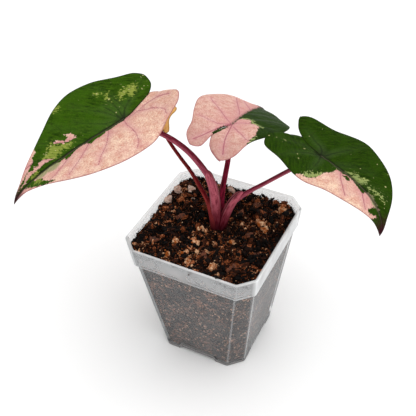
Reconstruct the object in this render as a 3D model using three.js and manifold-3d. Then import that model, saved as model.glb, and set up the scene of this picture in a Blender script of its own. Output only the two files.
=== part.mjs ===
// Variegated alocasia in a square translucent nursery pot.
// Millimetres, +Z up. The plant is laid out round the pot's axis with the pot standing on z = 0,
// and the last lines move the whole group so that its origin is under the middle of its box.
import * as THREE from 'three';
import Module from 'manifold-3d';

const wasm = await Module();
wasm.setup();

// Pot, a thin moulding in polypropylene
const potHeight = 76;
const rimHalf = 35;
const rimCorner = 8;
const bandHalf = 34;
const bandCorner = 7.7;
const bandHeight = 11.4;
const bandStep = 0.8;
const bodyTopHalf = 32.9;
const bodyFootHalf = 24.5;
const bodyCorner = 6.8;
const wall = 0.9;
const rimLip = 1.5;
const footHeight = 2.5;
const footWidth = 14.2;
const drainRadius = 3.5;
const drainSpread = 16;
const cornerEase = 0.22;

// Clearance between pieces that touch, and how far a cutting block runs past what it cuts
const seat = 0.3;
const overrun = 2;

// Growing mix
const soilLevel = 72.6;
const soilCell = 3.6;
const soilRelief = 0.9;
const soilSlope = [-0.03, 0.01];
const swellHeight = 0.4;
const swellPitch = [0.16, 0.13];
const lumpLift = { pumice: 1, bark: 0.8 };

// Leaf blades
const bladeThickness = 0.8;
const ribHeight = 0.9;
const ribWidth = 1.6;
const marginWave = 0.35;
const waveTurn = 0.9;
const widestPoint = 7;
const hollowRadius = 15;
const largeRows = { front: 18, lobe: 8 };
const smallRows = { front: 9, lobe: 5 };

// Stalks
const stalkSides = 8;
const stemSteps = 22;
const sheathSteps = 12;
const stemFoot = 62;
const crownTop = 90;
const crownCentre = [1.4, 0.9];
const crownHoleRadii = [5.6, 5];

// A small repeatable random source
function randomFrom(seed) {
  let state = seed;
  return () => {
    state = (state + 0x6d2b79f5) | 0;
    let t = Math.imul(state ^ (state >>> 15), 1 | state);
    t = (t + Math.imul(t ^ (t >>> 7), 61 | t)) ^ t;
    return ((t ^ (t >>> 14)) >>> 0) / 4294967296;
  };
}

// Geometry and solids
function geometryFrom(vertices, triangles) {
  const geometry = new THREE.BufferGeometry();
  geometry.setAttribute('position', new THREE.Float32BufferAttribute(vertices.flat(), 3));
  geometry.setIndex(triangles.flat());
  return geometry;
}

function solidFrom(vertices, triangles) {
  const mesh = new wasm.Mesh({
    numProp: 3,
    vertProperties: new Float32Array(vertices.flat()),
    triVerts: new Uint32Array(triangles.flat()),
  });
  return new wasm.Manifold(mesh);
}

function solidOfGeometry(geometry) {
  const position = geometry.getAttribute('position');
  const places = new Map();
  const vertices = [];
  const link = [];
  for (let i = 0; i < position.count; i++) {
    const point = [position.getX(i), position.getY(i), position.getZ(i)];
    const key = point.map((value) => Math.round(value * 1e4)).join(' ');
    if (!places.has(key)) {
      places.set(key, vertices.length);
      vertices.push(point);
    }
    link.push(places.get(key));
  }
  const index = geometry.index ? Array.from(geometry.index.array) : link.map((value, i) => i);
  const triangles = [];
  for (let i = 0; i < index.length; i += 3) {
    const corner = [link[index[i]], link[index[i + 1]], link[index[i + 2]]];
    if (new Set(corner).size === 3) triangles.push(corner);
  }
  return solidFrom(vertices, triangles);
}

function geometryOfSolid(solid) {
  const mesh = solid.getMesh();
  const geometry = new THREE.BufferGeometry();
  geometry.setAttribute('position', new THREE.BufferAttribute(new Float32Array(mesh.vertProperties), 3));
  geometry.setIndex(new THREE.BufferAttribute(new Uint32Array(mesh.triVerts), 1));
  return geometry;
}

function largestPiece(solid) {
  const pieces = solid.decompose();
  pieces.sort((a, b) => b.volume() - a.volume());
  return pieces[0];
}

function boxSolid(low, high) {
  const size = high.map((value, i) => value - low[i]);
  const box = new THREE.BoxGeometry(...size);
  box.translate(...low.map((value, i) => value + size[i] / 2));
  return solidOfGeometry(box);
}

// A closed loft through rings that all have the same number of points
function loft(rings) {
  const count = rings[0].length;
  const vertices = rings.flat();
  const triangles = [];
  for (let r = 0; r + 1 < rings.length; r++) {
    for (let i = 0; i < count; i++) {
      const a = r * count + i;
      const b = r * count + (i + 1) % count;
      triangles.push([a, b, b + count], [a, b + count, a + count]);
    }
  }
  const last = (rings.length - 1) * count;
  for (let i = 1; i + 1 < count; i++) {
    triangles.push([0, i + 1, i], [last, last + i, last + i + 1]);
  }
  return { vertices, triangles };
}

function loftSolid(rings) {
  const { vertices, triangles } = loft(rings);
  return solidFrom(vertices, triangles);
}

const group = new THREE.Group();

function addPiece(name, geometry, look) {
  const flat = geometry.index ? geometry.toNonIndexed() : geometry;
  flat.computeVertexNormals();
  const mesh = new THREE.Mesh(flat, new THREE.MeshStandardMaterial(look));
  mesh.name = name;
  group.add(mesh);
}

// Square section with cut corners, whose two bends are eased
function squareRing(half, corner, z) {
  const ease = corner * cornerEase;
  const flat = half - corner;
  const drop = ease * (Math.SQRT2 - 1);
  const quarter = [
    [half, flat - ease],
    [half - drop, flat + ease - drop],
    [flat + ease - drop, half - drop],
    [flat - ease, half],
  ];
  const ring = [];
  for (let turn = 0; turn < 4; turn++) {
    const angle = turn * Math.PI / 2;
    for (const [x, y] of quarter) {
      const px = x * Math.cos(angle) - y * Math.sin(angle);
      const py = x * Math.sin(angle) + y * Math.cos(angle);
      ring.push([px, py, z]);
    }
  }
  return ring;
}

const bandFoot = potHeight - bandHeight;
const bodySlope = (bodyTopHalf - bodyFootHalf) / bandFoot;

function bodyHalf(z) {
  return bodyFootHalf + bodySlope * z;
}

// The space inside the walls, drawn in by the given clearance
function potInside(clearance, floor, top) {
  const inset = wall + clearance;
  const lipHalf = rimHalf - rimLip - clearance;
  const bandInner = bandHalf - wall - clearance;
  const rings = [
    squareRing(bodyHalf(floor) - inset, bodyCorner - wall / 2, floor),
    squareRing(bodyHalf(bandFoot) - inset, bodyCorner - wall / 2, bandFoot),
    squareRing(bandInner, bandCorner - wall / 2, bandFoot + 1.5 * bandStep),
    squareRing(lipHalf, rimCorner - wall / 2, top),
  ];
  return loftSolid(rings);
}

// Raised cross under the floor, which leaves four corner feet
function footCross(margin, height) {
  const reach = bodyHalf(height) + overrun;
  const half = bodyFootHalf - footWidth + margin;
  const along = boxSolid([-reach, -half, -overrun], [reach, half, height]);
  const across = boxSolid([-half, -reach, -overrun], [half, reach, height]);
  return along.add(across);
}

function drainHole(x, y) {
  const bore = new THREE.CylinderGeometry(drainRadius, drainRadius, 4 * footHeight, 16);
  bore.rotateX(Math.PI / 2);
  bore.translate(x, y, footHeight);
  return solidOfGeometry(bore);
}

function makePot() {
  const outside = loftSolid([
    squareRing(bodyFootHalf, bodyCorner, 0),
    squareRing(bodyHalf(bandFoot), bodyCorner, bandFoot),
    squareRing(bandHalf, bandCorner, bandFoot + bandStep),
    squareRing(rimHalf, rimCorner, potHeight),
  ]);
  const floorTop = footHeight + wall;
  const hollow = potInside(0, wall, potHeight + overrun).subtract(footCross(wall, floorTop));
  let pot = outside.subtract(hollow).subtract(footCross(0, footHeight));
  const far = drainSpread;
  const places = [[0, 0], [far, 0], [-far, 0], [0, far], [0, -far]];
  for (const [x, y] of places) {
    pot = pot.subtract(drainHole(x, y));
  }
  return pot;
}

// The mix lies a little higher to the left and at the back
function mixHeight(x, y) {
  const swell = swellHeight * Math.sin(x * swellPitch[0] + 0.6) * Math.cos(y * swellPitch[1]);
  return soilLevel + soilSlope[0] * x + soilSlope[1] * y + swell;
}

// Coarse relief of the mix: one height for each point of a square lattice
function makeSoilBlock() {
  const random = randomFrom(11);
  const half = rimHalf + 1;
  const count = Math.ceil(2 * half / soilCell);
  const step = 2 * half / count;
  const floor = wall + seat;
  const vertices = [];
  const triangles = [];
  const at = (i, j) => i * (count + 1) + j;
  for (let i = 0; i <= count; i++) {
    for (let j = 0; j <= count; j++) {
      const x = -half + i * step;
      const y = -half + j * step;
      vertices.push([x, y, mixHeight(x, y) + soilRelief * (2 * random() - 1)]);
    }
  }
  const under = vertices.length;
  for (let i = 0; i < under; i++) vertices.push([vertices[i][0], vertices[i][1], floor - overrun]);
  for (let i = 0; i < count; i++) {
    for (let j = 0; j < count; j++) {
      const [a, b, c, d] = [at(i, j), at(i + 1, j), at(i + 1, j + 1), at(i, j + 1)];
      triangles.push([a, b, c], [a, c, d]);
      triangles.push([under + a, under + c, under + b], [under + a, under + d, under + c]);
    }
  }
  for (let i = 0; i < count; i++) {
    const edges = [
      [at(i, 0), at(i + 1, 0)],
      [at(count, i), at(count, i + 1)],
      [at(i + 1, count), at(i, count)],
      [at(0, i + 1), at(0, i)],
    ];
    for (const [a, b] of edges) {
      triangles.push([under + a, under + b, b], [under + a, b, a]);
    }
  }
  const lattice = solidFrom(vertices, triangles);
  const filled = potInside(seat, floor, potHeight + overrun);
  return filled.intersect(lattice).subtract(footCross(wall + seat, footHeight + wall + seat));
}

// Stones and bark: an uneven ball, squashed, turned and set part way into the mix
function lumpSolid(piece, grow, seed) {
  const random = randomFrom(seed);
  const ball = new THREE.IcosahedronGeometry(1, piece.detail);
  const position = ball.getAttribute('position');
  const bumps = new Map();
  for (let i = 0; i < position.count; i++) {
    const point = new THREE.Vector3().fromBufferAttribute(position, i);
    const key = point.toArray().map((value) => Math.round(value * 1e3)).join(' ');
    if (!bumps.has(key)) bumps.set(key, 1 + piece.rough * (random() - 0.5));
    point.multiplyScalar(bumps.get(key));
    const [a, b, c] = piece.size;
    position.setXYZ(i, point.x * (a / 2 + grow), point.y * (b / 2 + grow), point.z * (c / 2 + grow));
  }
  ball.rotateX(piece.tilt);
  ball.rotateZ(piece.turn);
  ball.translate(piece.x, piece.y, piece.z);
  return solidOfGeometry(ball);
}

// Pale and tan pumice: x, y, widest size
const pumicePlaces = [
  [-29, 16, 5.4], [-30.2, 6.7, 5], [-23.5, 19.4, 4.4], [-5.4, -5.2, 4.2], [-12.8, -18.7, 3.8],
  [-4.6, -14.6, 3.4], [12.4, -7, 3.6], [19.4, 11.4, 4.6], [23, 8, 4], [-4.3, 28, 4.4],
  [-1.1, -27.4, 3.2], [-12.1, -28.4, 3.4], [11.1, -26.2, 3.8], [25.8, 24.8, 4],
];
const pumice = pumicePlaces.map(([x, y, size], i) => {
  const random = randomFrom(100 + i);
  return {
    x, y,
    z: mixHeight(x, y) + lumpLift.pumice,
    size: [size, size * (0.7 + 0.2 * random()), size * (0.6 + 0.2 * random())],
    turn: random() * Math.PI,
    tilt: (random() - 0.5) * 0.6,
    rough: 0.3,
    detail: 1,
  };
});

// Red-brown bark chips: x, y, length
const barkPlaces = [
  [20, -22.4, 6], [17.6, 1.4, 4.8], [-18.6, -1.5, 5.6], [7.2, 14.5, 5], [-11, 24, 5.4],
  [26.4, -9, 5.2], [4.3, -20.5, 5.4], [-22, -21.5, 5.8], [12.4, 23.7, 5], [-9.6, 12.8, 5.2],
];
const bark = barkPlaces.map(([x, y, size], i) => {
  const random = randomFrom(200 + i);
  return {
    x, y,
    z: mixHeight(x, y) + lumpLift.bark,
    size: [size, size * 0.6, size * 0.42],
    turn: random() * Math.PI,
    tilt: (random() - 0.5) * 0.8,
    rough: 0.5,
    detail: 1,
  };
});

// Stalks: a round or flattened tube through stations of x, y, z, half width and half depth
const towardsFront = new THREE.Vector3(0.46, -0.88, 0);

function stalkSolid(stations, steps) {
  const centre = new THREE.CatmullRomCurve3(stations.map(([x, y, z]) => new THREE.Vector3(x, y, z)));
  const radii = new THREE.CatmullRomCurve3(stations.map(([, , , w, d]) => new THREE.Vector3(w, d, 0)));
  const rings = [];
  for (let s = 0; s <= steps; s++) {
    const t = s / steps;
    const point = centre.getPoint(t);
    const along = centre.getTangent(t);
    const size = radii.getPoint(t);
    const side = new THREE.Vector3().crossVectors(along, towardsFront).normalize();
    const front = new THREE.Vector3().crossVectors(along, side).normalize();
    const ring = [];
    for (let i = 0; i < stalkSides; i++) {
      const angle = 2 * Math.PI * i / stalkSides;
      const offset = side.clone().multiplyScalar(size.x * Math.cos(angle));
      offset.addScaledVector(front, size.y * Math.sin(angle));
      ring.push(point.clone().add(offset).toArray());
    }
    rings.push(ring);
  }
  return loftSolid(rings);
}

// Each stalk runs from inside the mix to the underside of its blade. A sheath wraps its lower part
// and ends in a free ear.
const stalks = {
  left: {
    stem: [
      [0.6, 0.4, 62, 1.9, 1.9], [0.6, 0.3, 76, 2.0, 1.9], [-0.3, 0, 91, 1.7, 1.6],
      [-1.9, -0.5, 102.5, 1.4, 1.4], [-5.7, -1.4, 110, 1.25, 1.25], [-12.1, -2.9, 118.2, 1.2, 1.2],
      [-20.5, -5, 124.7, 1.2, 1.2], [-32.1, -7.8, 129.2, 1.15, 1.15], [-39.4, -9.6, 131.7, 1.2, 1.1],
    ],
    sheath: [
      [0.4, 0, 62, 2.6, 2.4], [0.4, -0.2, 76, 3.0, 2.5], [0, -0.2, 90, 2.9, 2.2],
      [-0.9, -0.5, 98.5, 2.6, 1.9], [-1.9, -0.8, 103.4, 2.2, 1.6], [-2.9, -1, 106.6, 0.9, 0.8],
      [-3.3, -1.1, 107.6, 0.3, 0.3],
    ],
  },
  middle: {
    stem: [
      [1.2, 3, 62, 1.8, 1.8], [1.3, 3.8, 78, 1.8, 1.8], [1.2, 6, 91, 1.4, 1.4],
      [1.2, 10, 99.6, 1.3, 1.3], [1.2, 13, 106, 1.25, 1.25], [1.2, 15.3, 115, 1.2, 1.2],
      [1.2, 16.2, 123, 1.15, 1.15],
    ],
  },
  right: {
    stem: [
      [2.4, 0.7, 62, 1.6, 1.6], [3.2, 0.9, 76, 1.7, 1.6], [7, 2.3, 87.5, 1.5, 1.4],
      [13.9, 4.7, 95.6, 1.15, 1.1], [23.2, 8.1, 103.2, 1, 1], [32.7, 11.5, 110.9, 1, 1],
      [44.9, 16, 119.6, 1.05, 1],
    ],
    sheath: [
      [2, 0.2, 62, 2.1, 2.1], [3.2, 0.5, 75, 2.5, 2], [5.6, 1.4, 84.4, 2.3, 1.8],
      [8.6, 2.5, 90.9, 1.9, 1.5], [11.2, 3.5, 95, 1.2, 1], [12, 3.9, 96.6, 0.4, 0.4],
    ],
  },
  old: {
    stem: [
      [-0.8, 0.9, 62, 1.3, 1.3], [-1.9, 1, 77, 1.5, 1.4], [-4.2, 1.3, 87, 1.1, 1.1],
      [-10, 2.6, 95.4, 0.9, 0.9], [-15, 4, 101, 0.8, 0.8], [-20.7, 5.2, 106.2, 0.75, 0.75],
      [-27.4, 7.2, 112.2, 0.75, 0.75], [-31, 8.7, 116, 0.75, 0.75],
    ],
  },
};

// Leaf blades. Outline points are in the flat leaf: x runs from the stalk's joint to the tip, y to
// the leaf's left. Angles are in degrees, and the bends grow over one length of the leaf.
const leaves = {
  left: {
    rows: largeRows,
    at: [-40, -9.7, 132], length: 65.5, heading: -117.5, pitch: 10.9, roll: 3.2,
    fold: [12.2, 25.2], curl: [50.9, 16.7], arch: [10.8, 5.4, 31.2], sweep: [-10.4, -15.3],
    twist: [-0.9, 2.2], back: { arch: -55, sweep: -6, twist: -2.2 },
    margins: [
      [[65.5, 0], [61.6, 0.8], [55, 3], [45.9, 9.9], [35.4, 17.5], [24.2, 23.3], [12.5, 27],
        [0, 26.2], [-11.8, 20], [-21, 16.2], [-25.4, 11]],
      [[65.5, 0], [61.6, -2.3], [55, -4.8], [45.9, -10.1], [35.4, -16.9], [24.2, -23.6], [12.5, -27.3],
        [0, -26.1], [-11.8, -20.4], [-19.6, -16.4], [-23, -11.4]],
    ],
    sinus: [
      [[0, 0], [-5, -0.1], [-11, -1.4], [-17, -2.2], [-21.8, 1.8], [-25.4, 11]],
      [[0, 0], [-5, -0.7], [-11, -1.9], [-17, -2.7], [-21.6, -5.8], [-23, -11.4]],
    ],
  },
  middle: {
    rows: largeRows,
    at: [1.2, 16.6, 124], length: 64, heading: 91.7, pitch: 12.3, roll: 19.5,
    fold: [-5, 19.3], curl: [27.2, 24.2], arch: [37.3, 2.6, -22.5], sweep: [5.4, -5],
    twist: [11, 0.3], back: { arch: 42.4, sweep: 3.6, twist: -0.3 },
    margins: [
      [[64, 0], [60.3, 2], [53.8, 6.1], [44.9, 11.9], [34.6, 18.1], [23.7, 22.3], [12.2, 22.8],
        [0, 19.8], [-11.5, 15.3], [-21.5, 12.4], [-27.3, 7.2]],
      [[64, 0], [60.3, -2.1], [53.8, -6.2], [44.9, -12], [34.6, -18.2], [23.7, -22.5], [12.2, -22.8],
        [0, -19.3], [-11.5, -15.4], [-21.9, -13.2], [-27.6, -8.6]],
    ],
    sinus: [
      [[0, 0], [-4, 1.4], [-9, 2.8], [-16, 2.9], [-24.8, 3.2], [-27.3, 7.2]],
      [[0, 0], [-4, 0.9], [-9, 2.3], [-15, 2.4], [-23, -1], [-27.6, -8.6]],
    ],
  },
  right: {
    rows: largeRows,
    at: [45.6, 16.2, 120], length: 48.8, heading: -22.7, pitch: 5.6, roll: -8.4,
    fold: [17.1, 10], curl: [12.7, 56.4], arch: [-10.1, 31.2, 68.1], sweep: [-2.3, -2.1],
    twist: [3, -2.2], back: { arch: -6.7, sweep: -0.7, twist: -0.5 },
    margins: [
      [[48.8, 0], [45.9, 1.1], [41, 3.9], [34.1, 9.5], [26.3, 14.7], [18.1, 18.1], [9.3, 20],
        [0, 19.4], [-8.8, 16.8], [-18.4, 14.4], [-22.6, 10.4]],
      [[48.8, 0], [45.9, -1.5], [41, -4.6], [34.1, -9.4], [26.3, -13.6], [18.1, -17.1], [9.3, -20.1],
        [0, -20], [-8.8, -18.4], [-19.4, -17], [-24.5, -10.8]],
    ],
    sinus: [
      [[0, 0], [-4, 0.5], [-8, 0.8], [-12.6, 1.9], [-18.8, 5.5], [-22.6, 10.4]],
      [[0, 0], [-4, 0], [-9, 0.2], [-15, 0.9], [-20.5, -1.6], [-24.5, -10.8]],
    ],
  },
  old: {
    rows: smallRows,
    at: [-31.4, 9, 116.5], length: 20, heading: 124, pitch: -14, roll: -6,
    fold: [8, 8], curl: [30, 50], arch: [6, 4, 8], sweep: [-4, 0],
    twist: [4, 0], back: { arch: 10, sweep: 0, twist: 0 },
    margins: [
      [[19, 0], [18, 1.2], [16, 3], [13.4, 5], [10.4, 6.6], [7.2, 7.2], [4, 6.8],
        [0, 5.2], [-1.6, 4.2], [-2.7, 3], [-3.2, 1.8]],
      [[19, 0], [18.8, -2.6], [17.4, -5.8], [14.8, -7.8], [11.6, -7], [8.6, -5], [5.4, -3.6],
        [0.6, -3.2], [-1.2, -2.8], [-2.3, -2.2], [-2.8, -1.4]],
    ],
    sinus: [
      [[0, 0], [-0.6, 0.3], [-1.2, 0.4], [-1.9, 0.6], [-2.8, 0.9], [-3.2, 1.8]],
      [[0, 0], [-0.5, -0.3], [-1, -0.4], [-1.7, -0.5], [-2.4, -0.8], [-2.8, -1.6]],
    ],
  },
};

// The bent leaf: a place in the flat leaf gives a place in space
function bentLeaf(leaf) {
  const radians = THREE.MathUtils.degToRad;
  const grain = 0.01;
  const ahead = 1.1;
  const behind = 0.7;
  const turnAt = (x) => {
    const f = Math.max(x, 0);
    const b = Math.min(x, 0);
    const [a1, a2, a3] = leaf.arch;
    return {
      pitch: radians(a1 * f + a2 * f * f + a3 * f * f * f + leaf.back.arch * b),
      yaw: radians(leaf.sweep[0] * f + leaf.sweep[1] * f * f + leaf.back.sweep * b),
      roll: radians(leaf.twist[0] * f + leaf.twist[1] * f * f + leaf.back.twist * b),
    };
  };
  const alongAt = (x) => {
    const { pitch, yaw } = turnAt(x);
    const flat = Math.cos(pitch);
    return new THREE.Vector3(flat * Math.cos(yaw), flat * Math.sin(yaw), -Math.sin(pitch));
  };
  const spine = new Map([[0, new THREE.Vector3()]]);
  for (const way of [1, -1]) {
    for (let i = 1; i * grain <= (way > 0 ? ahead : behind); i++) {
      const before = spine.get(way * (i - 1));
      const middle = alongAt(way * (i - 0.5) * grain);
      spine.set(way * i, before.clone().addScaledVector(middle, way * grain));
    }
  }
  const stance = new THREE.Matrix4().makeRotationZ(radians(leaf.heading));
  stance.multiply(new THREE.Matrix4().makeRotationY(radians(leaf.pitch)));
  stance.multiply(new THREE.Matrix4().makeRotationX(radians(leaf.roll)));
  return (flatX, flatY) => {
    const x = flatX / leaf.length;
    const y = flatY / leaf.length;
    const cell = Math.floor(x / grain);
    const part = x / grain - cell;
    const point = spine.get(cell).clone().lerp(spine.get(cell + 1), part);
    const { yaw, roll } = turnAt(x);
    const along = alongAt(x);
    const across = new THREE.Vector3(-Math.sin(yaw), Math.cos(yaw), 0);
    const up = new THREE.Vector3().crossVectors(along, across);
    const side = across.clone().multiplyScalar(Math.cos(roll)).addScaledVector(up, Math.sin(roll));
    const lift = across.clone().multiplyScalar(-Math.sin(roll)).addScaledVector(up, Math.cos(roll));
    const half = y >= 0 ? 0 : 1;
    const fold = radians(leaf.fold[half]);
    const curl = radians(leaf.curl[half]);
    const out = Math.abs(y);
    const over = (Math.sin(fold) - Math.sin(fold - curl * out)) / curl;
    const rise = (Math.cos(fold - curl * out) - Math.cos(fold)) / curl;
    point.addScaledVector(side, Math.sign(y) * over).addScaledVector(lift, rise);
    point.multiplyScalar(leaf.length).applyMatrix4(stance);
    return point.add(new THREE.Vector3(...leaf.at));
  };
}

// The stalk's end is hollowed to the blade's underside by a large ball that rests on the joint
function jointHollow(leaf) {
  const place = bentLeaf(leaf);
  const start = place(0, 0);
  const onward = place(1, 0).sub(start);
  const across = place(0, 1).sub(place(0, -1));
  const normal = onward.cross(across).normalize();
  const centre = start.addScaledVector(normal, hollowRadius - bladeThickness / 2 - seat);
  const ball = new THREE.SphereGeometry(hollowRadius, 40, 30);
  ball.translate(...centre.toArray());
  return solidOfGeometry(ball);
}

// Columns across a half blade, closer together at the rib and at the margin
const columns = [0, 0.05, 0.13, 0.3, 0.5, 0.7, 0.87, 1];

function bladeMesh(leaf, thickness, rib) {
  const place = bentLeaf(leaf);
  const last = columns.length - 1;
  const { front: frontRows, lobe: lobeRows } = leaf.rows;
  const rows = frontRows + lobeRows;
  const flat = [];
  const ids = new Map();
  const plan = [];
  const idOf = (half, row, column) => {
    const shared = row === 0 ? 'tip' : row <= frontRows && column === 0 ? `rib ${row}` : null;
    const end = row === rows ? `end ${half}` : null;
    return shared || end || `${half} ${row} ${column}`;
  };
  for (const half of [0, 1]) {
    const margin = new THREE.SplineCurve(leaf.margins[half].map(([x, y]) => new THREE.Vector2(x, y)));
    const inner = new THREE.SplineCurve(leaf.sinus[half].map(([x, y]) => new THREE.Vector2(x, y)));
    const widest = widestPoint / (leaf.margins[half].length - 1);
    for (let row = 0; row <= rows; row++) {
      const front = row <= frontRows;
      const share = front ? row / frontRows : (row - frontRows) / lobeRows;
      const outer = margin.getPoint(front ? widest * share : widest + (1 - widest) * share);
      const root = front ? new THREE.Vector2(leaf.length * (1 - share), 0) : inner.getPoint(share);
      for (let column = 0; column <= last; column++) {
        const key = idOf(half, row, column);
        if (!ids.has(key)) {
          ids.set(key, flat.length);
          const point = root.clone().lerp(outer, columns[column]);
          const fade = Math.min(1, row / 5);
          const ribbed = front ? rib * fade : rib * (1 - share) ** 2;
          const near = Math.hypot(point.x > 0 ? 0 : point.x / 2, point.y) / ribWidth;
          const swing = Math.sin(row * waveTurn + half * 2) * fade;
          const wave = marginWave * columns[column] ** 2 * swing;
          flat.push({ x: point.x, y: point.y, half, key, rib: ribbed * Math.exp(-near * near), wave });
        }
        plan.push(ids.get(key));
      }
    }
  }
  const normals = flat.map(() => new THREE.Vector3());
  const addNormal = (id, half) => {
    const { x, y } = flat[id];
    const step = 0.4;
    const inward = half === 0 ? step : -step;
    const here = place(x, y);
    const onward = place(Math.min(x + step, leaf.length * 1.05), y).sub(here);
    const across = place(x, y + inward).sub(here).multiplyScalar(Math.sign(inward));
    normals[id].add(onward.cross(across).normalize());
  };
  flat.forEach((point, id) => {
    addNormal(id, point.half);
    if (point.key === 'tip' || point.key.startsWith('rib')) addNormal(id, 1 - point.half);
  });
  const upper = [];
  const lower = [];
  flat.forEach((point, id) => {
    const normal = normals[id].normalize();
    const middle = place(point.x, point.y).addScaledVector(normal, point.wave);
    upper.push(middle.clone().addScaledVector(normal, thickness / 2).toArray());
    lower.push(middle.clone().addScaledVector(normal, -thickness / 2 - point.rib).toArray());
  });
  const count = flat.length;
  const triangles = [];
  const addFace = (a, b, c, flip) => {
    if (a === b || b === c || a === c) return;
    const [p, q, r] = flip ? [a, c, b] : [a, b, c];
    triangles.push([p, q, r], [p + count, r + count, q + count]);
  };
  const grid = (half, row, column) => plan[(half * (rows + 1) + row) * (last + 1) + column];
  for (const half of [0, 1]) {
    for (let row = 0; row < rows; row++) {
      for (let column = 0; column < last; column++) {
        const a = grid(half, row, column);
        const b = grid(half, row, column + 1);
        const c = grid(half, row + 1, column + 1);
        const d = grid(half, row + 1, column);
        addFace(a, b, c, half === 1);
        addFace(a, c, d, half === 1);
      }
    }
  }
  // The rim: left margin, left sinus edge, right sinus edge, right margin
  const edge = [];
  for (let row = 0; row <= rows; row++) edge.push(grid(0, row, last));
  for (let row = rows - 1; row > frontRows; row--) edge.push(grid(0, row, 0));
  edge.push(grid(0, frontRows, 0));
  for (let row = frontRows + 1; row <= rows; row++) edge.push(grid(1, row, 0));
  for (let row = rows - 1; row > 0; row--) edge.push(grid(1, row, last));
  for (let i = 0; i < edge.length; i++) {
    const a = edge[i];
    const b = edge[(i + 1) % edge.length];
    triangles.push([b, a, a + count], [b, a + count, b + count]);
  }
  return { vertices: upper.concat(lower), triangles };
}

// The pot, the mix and what lies on it
addPiece('pot', geometryOfSolid(makePot()), { color: '#dcdfe0', roughness: 0.45, metalness: 0 });

const stemSolids = {};
for (const [name, stalk] of Object.entries(stalks)) {
  const stem = stalkSolid(stalk.stem, stemSteps);
  stemSolids[name] = stalk.sheath ? stem.add(stalkSolid(stalk.sheath, sheathSteps)) : stem;
}
const everyStem = Object.values(stemSolids).reduce((sum, solid) => sum.add(solid));
const crownBlock = boxSolid([-60, -60, 0], [60, 60, crownTop]);
const crown = everyStem.intersect(crownBlock);

let soil = makeSoilBlock();
const holeHeight = potHeight - stemFoot + overrun;
const crownHole = new THREE.CylinderGeometry(...crownHoleRadii, holeHeight, 20);
crownHole.rotateX(Math.PI / 2);
crownHole.translate(...crownCentre, stemFoot - seat + holeHeight / 2);
soil = soil.subtract(solidOfGeometry(crownHole));

const lumps = [
  ...pumice.map((piece, i) => ({ piece, name: `pumice_${i + 1}`, seed: 300 + i, color: '#c79b74' })),
  ...bark.map((piece, i) => ({ piece, name: `bark_chip_${i + 1}`, seed: 400 + i, color: '#6b3b26' })),
];
for (const { piece, name, seed, color } of lumps) {
  soil = soil.subtract(lumpSolid(piece, seat, seed));
  addPiece(name, geometryOfSolid(lumpSolid(piece, 0, seed)), { color, roughness: 0.9, metalness: 0 });
}
addPiece('soil', geometryOfSolid(largestPiece(soil)), { color: '#2b1a12', roughness: 1, metalness: 0 });

// The plant
addPiece('crown', geometryOfSolid(largestPiece(crown)), { color: '#7d2c44', roughness: 0.5, metalness: 0 });
const aboveCrown = boxSolid([-150, -150, crownTop + seat], [150, 150, 200]);
const bladeColours = { left: '#3c6b34', middle: '#d9a79b', right: '#2f5f2c', old: '#c99a3a' };
for (const [name, leaf] of Object.entries(leaves)) {
  const blade = bladeMesh(leaf, bladeThickness, ribHeight);
  addPiece(`blade_${name}`, geometryFrom(blade.vertices, blade.triangles), {
    color: bladeColours[name], roughness: 0.5, metalness: 0,
  });
  const around = bladeMesh(leaf, bladeThickness + 2 * seat, ribHeight);
  const swollen = solidFrom(around.vertices, around.triangles);
  const sideways = [[seat, 0, 0], [-seat, 0, 0], [0, seat, 0], [0, -seat, 0]];
  const clear = sideways.reduce((sum, move) => sum.add(swollen.translate(move)), jointHollow(leaf));
  const stalk = largestPiece(stemSolids[name].intersect(aboveCrown).subtract(clear));
  addPiece(`petiole_${name}`, geometryOfSolid(stalk), { color: '#7a2a40', roughness: 0.45, metalness: 0 });
}

// Origin under the middle of the whole object's box
const whole = new THREE.Box3().setFromObject(group);
const middle = whole.getCenter(new THREE.Vector3());
group.position.set(-middle.x, -middle.y, -whole.min.z);

export default group;
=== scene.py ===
"""Variegated alocasia in a square nursery pot: the looks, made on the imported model's frame."""
import math

import bmesh
import bpy
import numpy as np
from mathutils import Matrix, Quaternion, Vector


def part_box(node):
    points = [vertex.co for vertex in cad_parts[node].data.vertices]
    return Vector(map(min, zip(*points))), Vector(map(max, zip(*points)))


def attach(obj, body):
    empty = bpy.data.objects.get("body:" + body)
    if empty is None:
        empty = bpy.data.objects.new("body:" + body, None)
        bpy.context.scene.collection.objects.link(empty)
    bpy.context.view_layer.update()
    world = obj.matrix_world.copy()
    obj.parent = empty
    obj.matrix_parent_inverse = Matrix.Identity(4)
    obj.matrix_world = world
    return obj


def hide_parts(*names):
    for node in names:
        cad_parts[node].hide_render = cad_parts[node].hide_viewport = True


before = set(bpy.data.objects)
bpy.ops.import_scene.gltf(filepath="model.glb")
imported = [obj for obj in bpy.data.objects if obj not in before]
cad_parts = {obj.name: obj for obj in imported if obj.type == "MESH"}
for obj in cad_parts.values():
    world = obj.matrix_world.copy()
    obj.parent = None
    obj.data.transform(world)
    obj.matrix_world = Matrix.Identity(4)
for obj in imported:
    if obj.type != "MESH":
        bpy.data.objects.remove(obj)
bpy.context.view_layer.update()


# ---- Camera -------------------------------------------------------------------------------
# The photograph looks down at the plant at about 41 degrees, from the front and a little to the
# right. Places are in the pot's own millimetres, from its axis at floor level, as in the CAD.
pot_low, pot_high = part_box("pot")
pot_axis = np.array([(pot_low[0] + pot_high[0]) / 2, (pot_low[1] + pot_high[1]) / 2, 0.0])


def in_row(points):
    """The pot's own millimetres as metres of the shared frame"""
    return np.asarray(points, float) / 1000 + pot_axis


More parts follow.
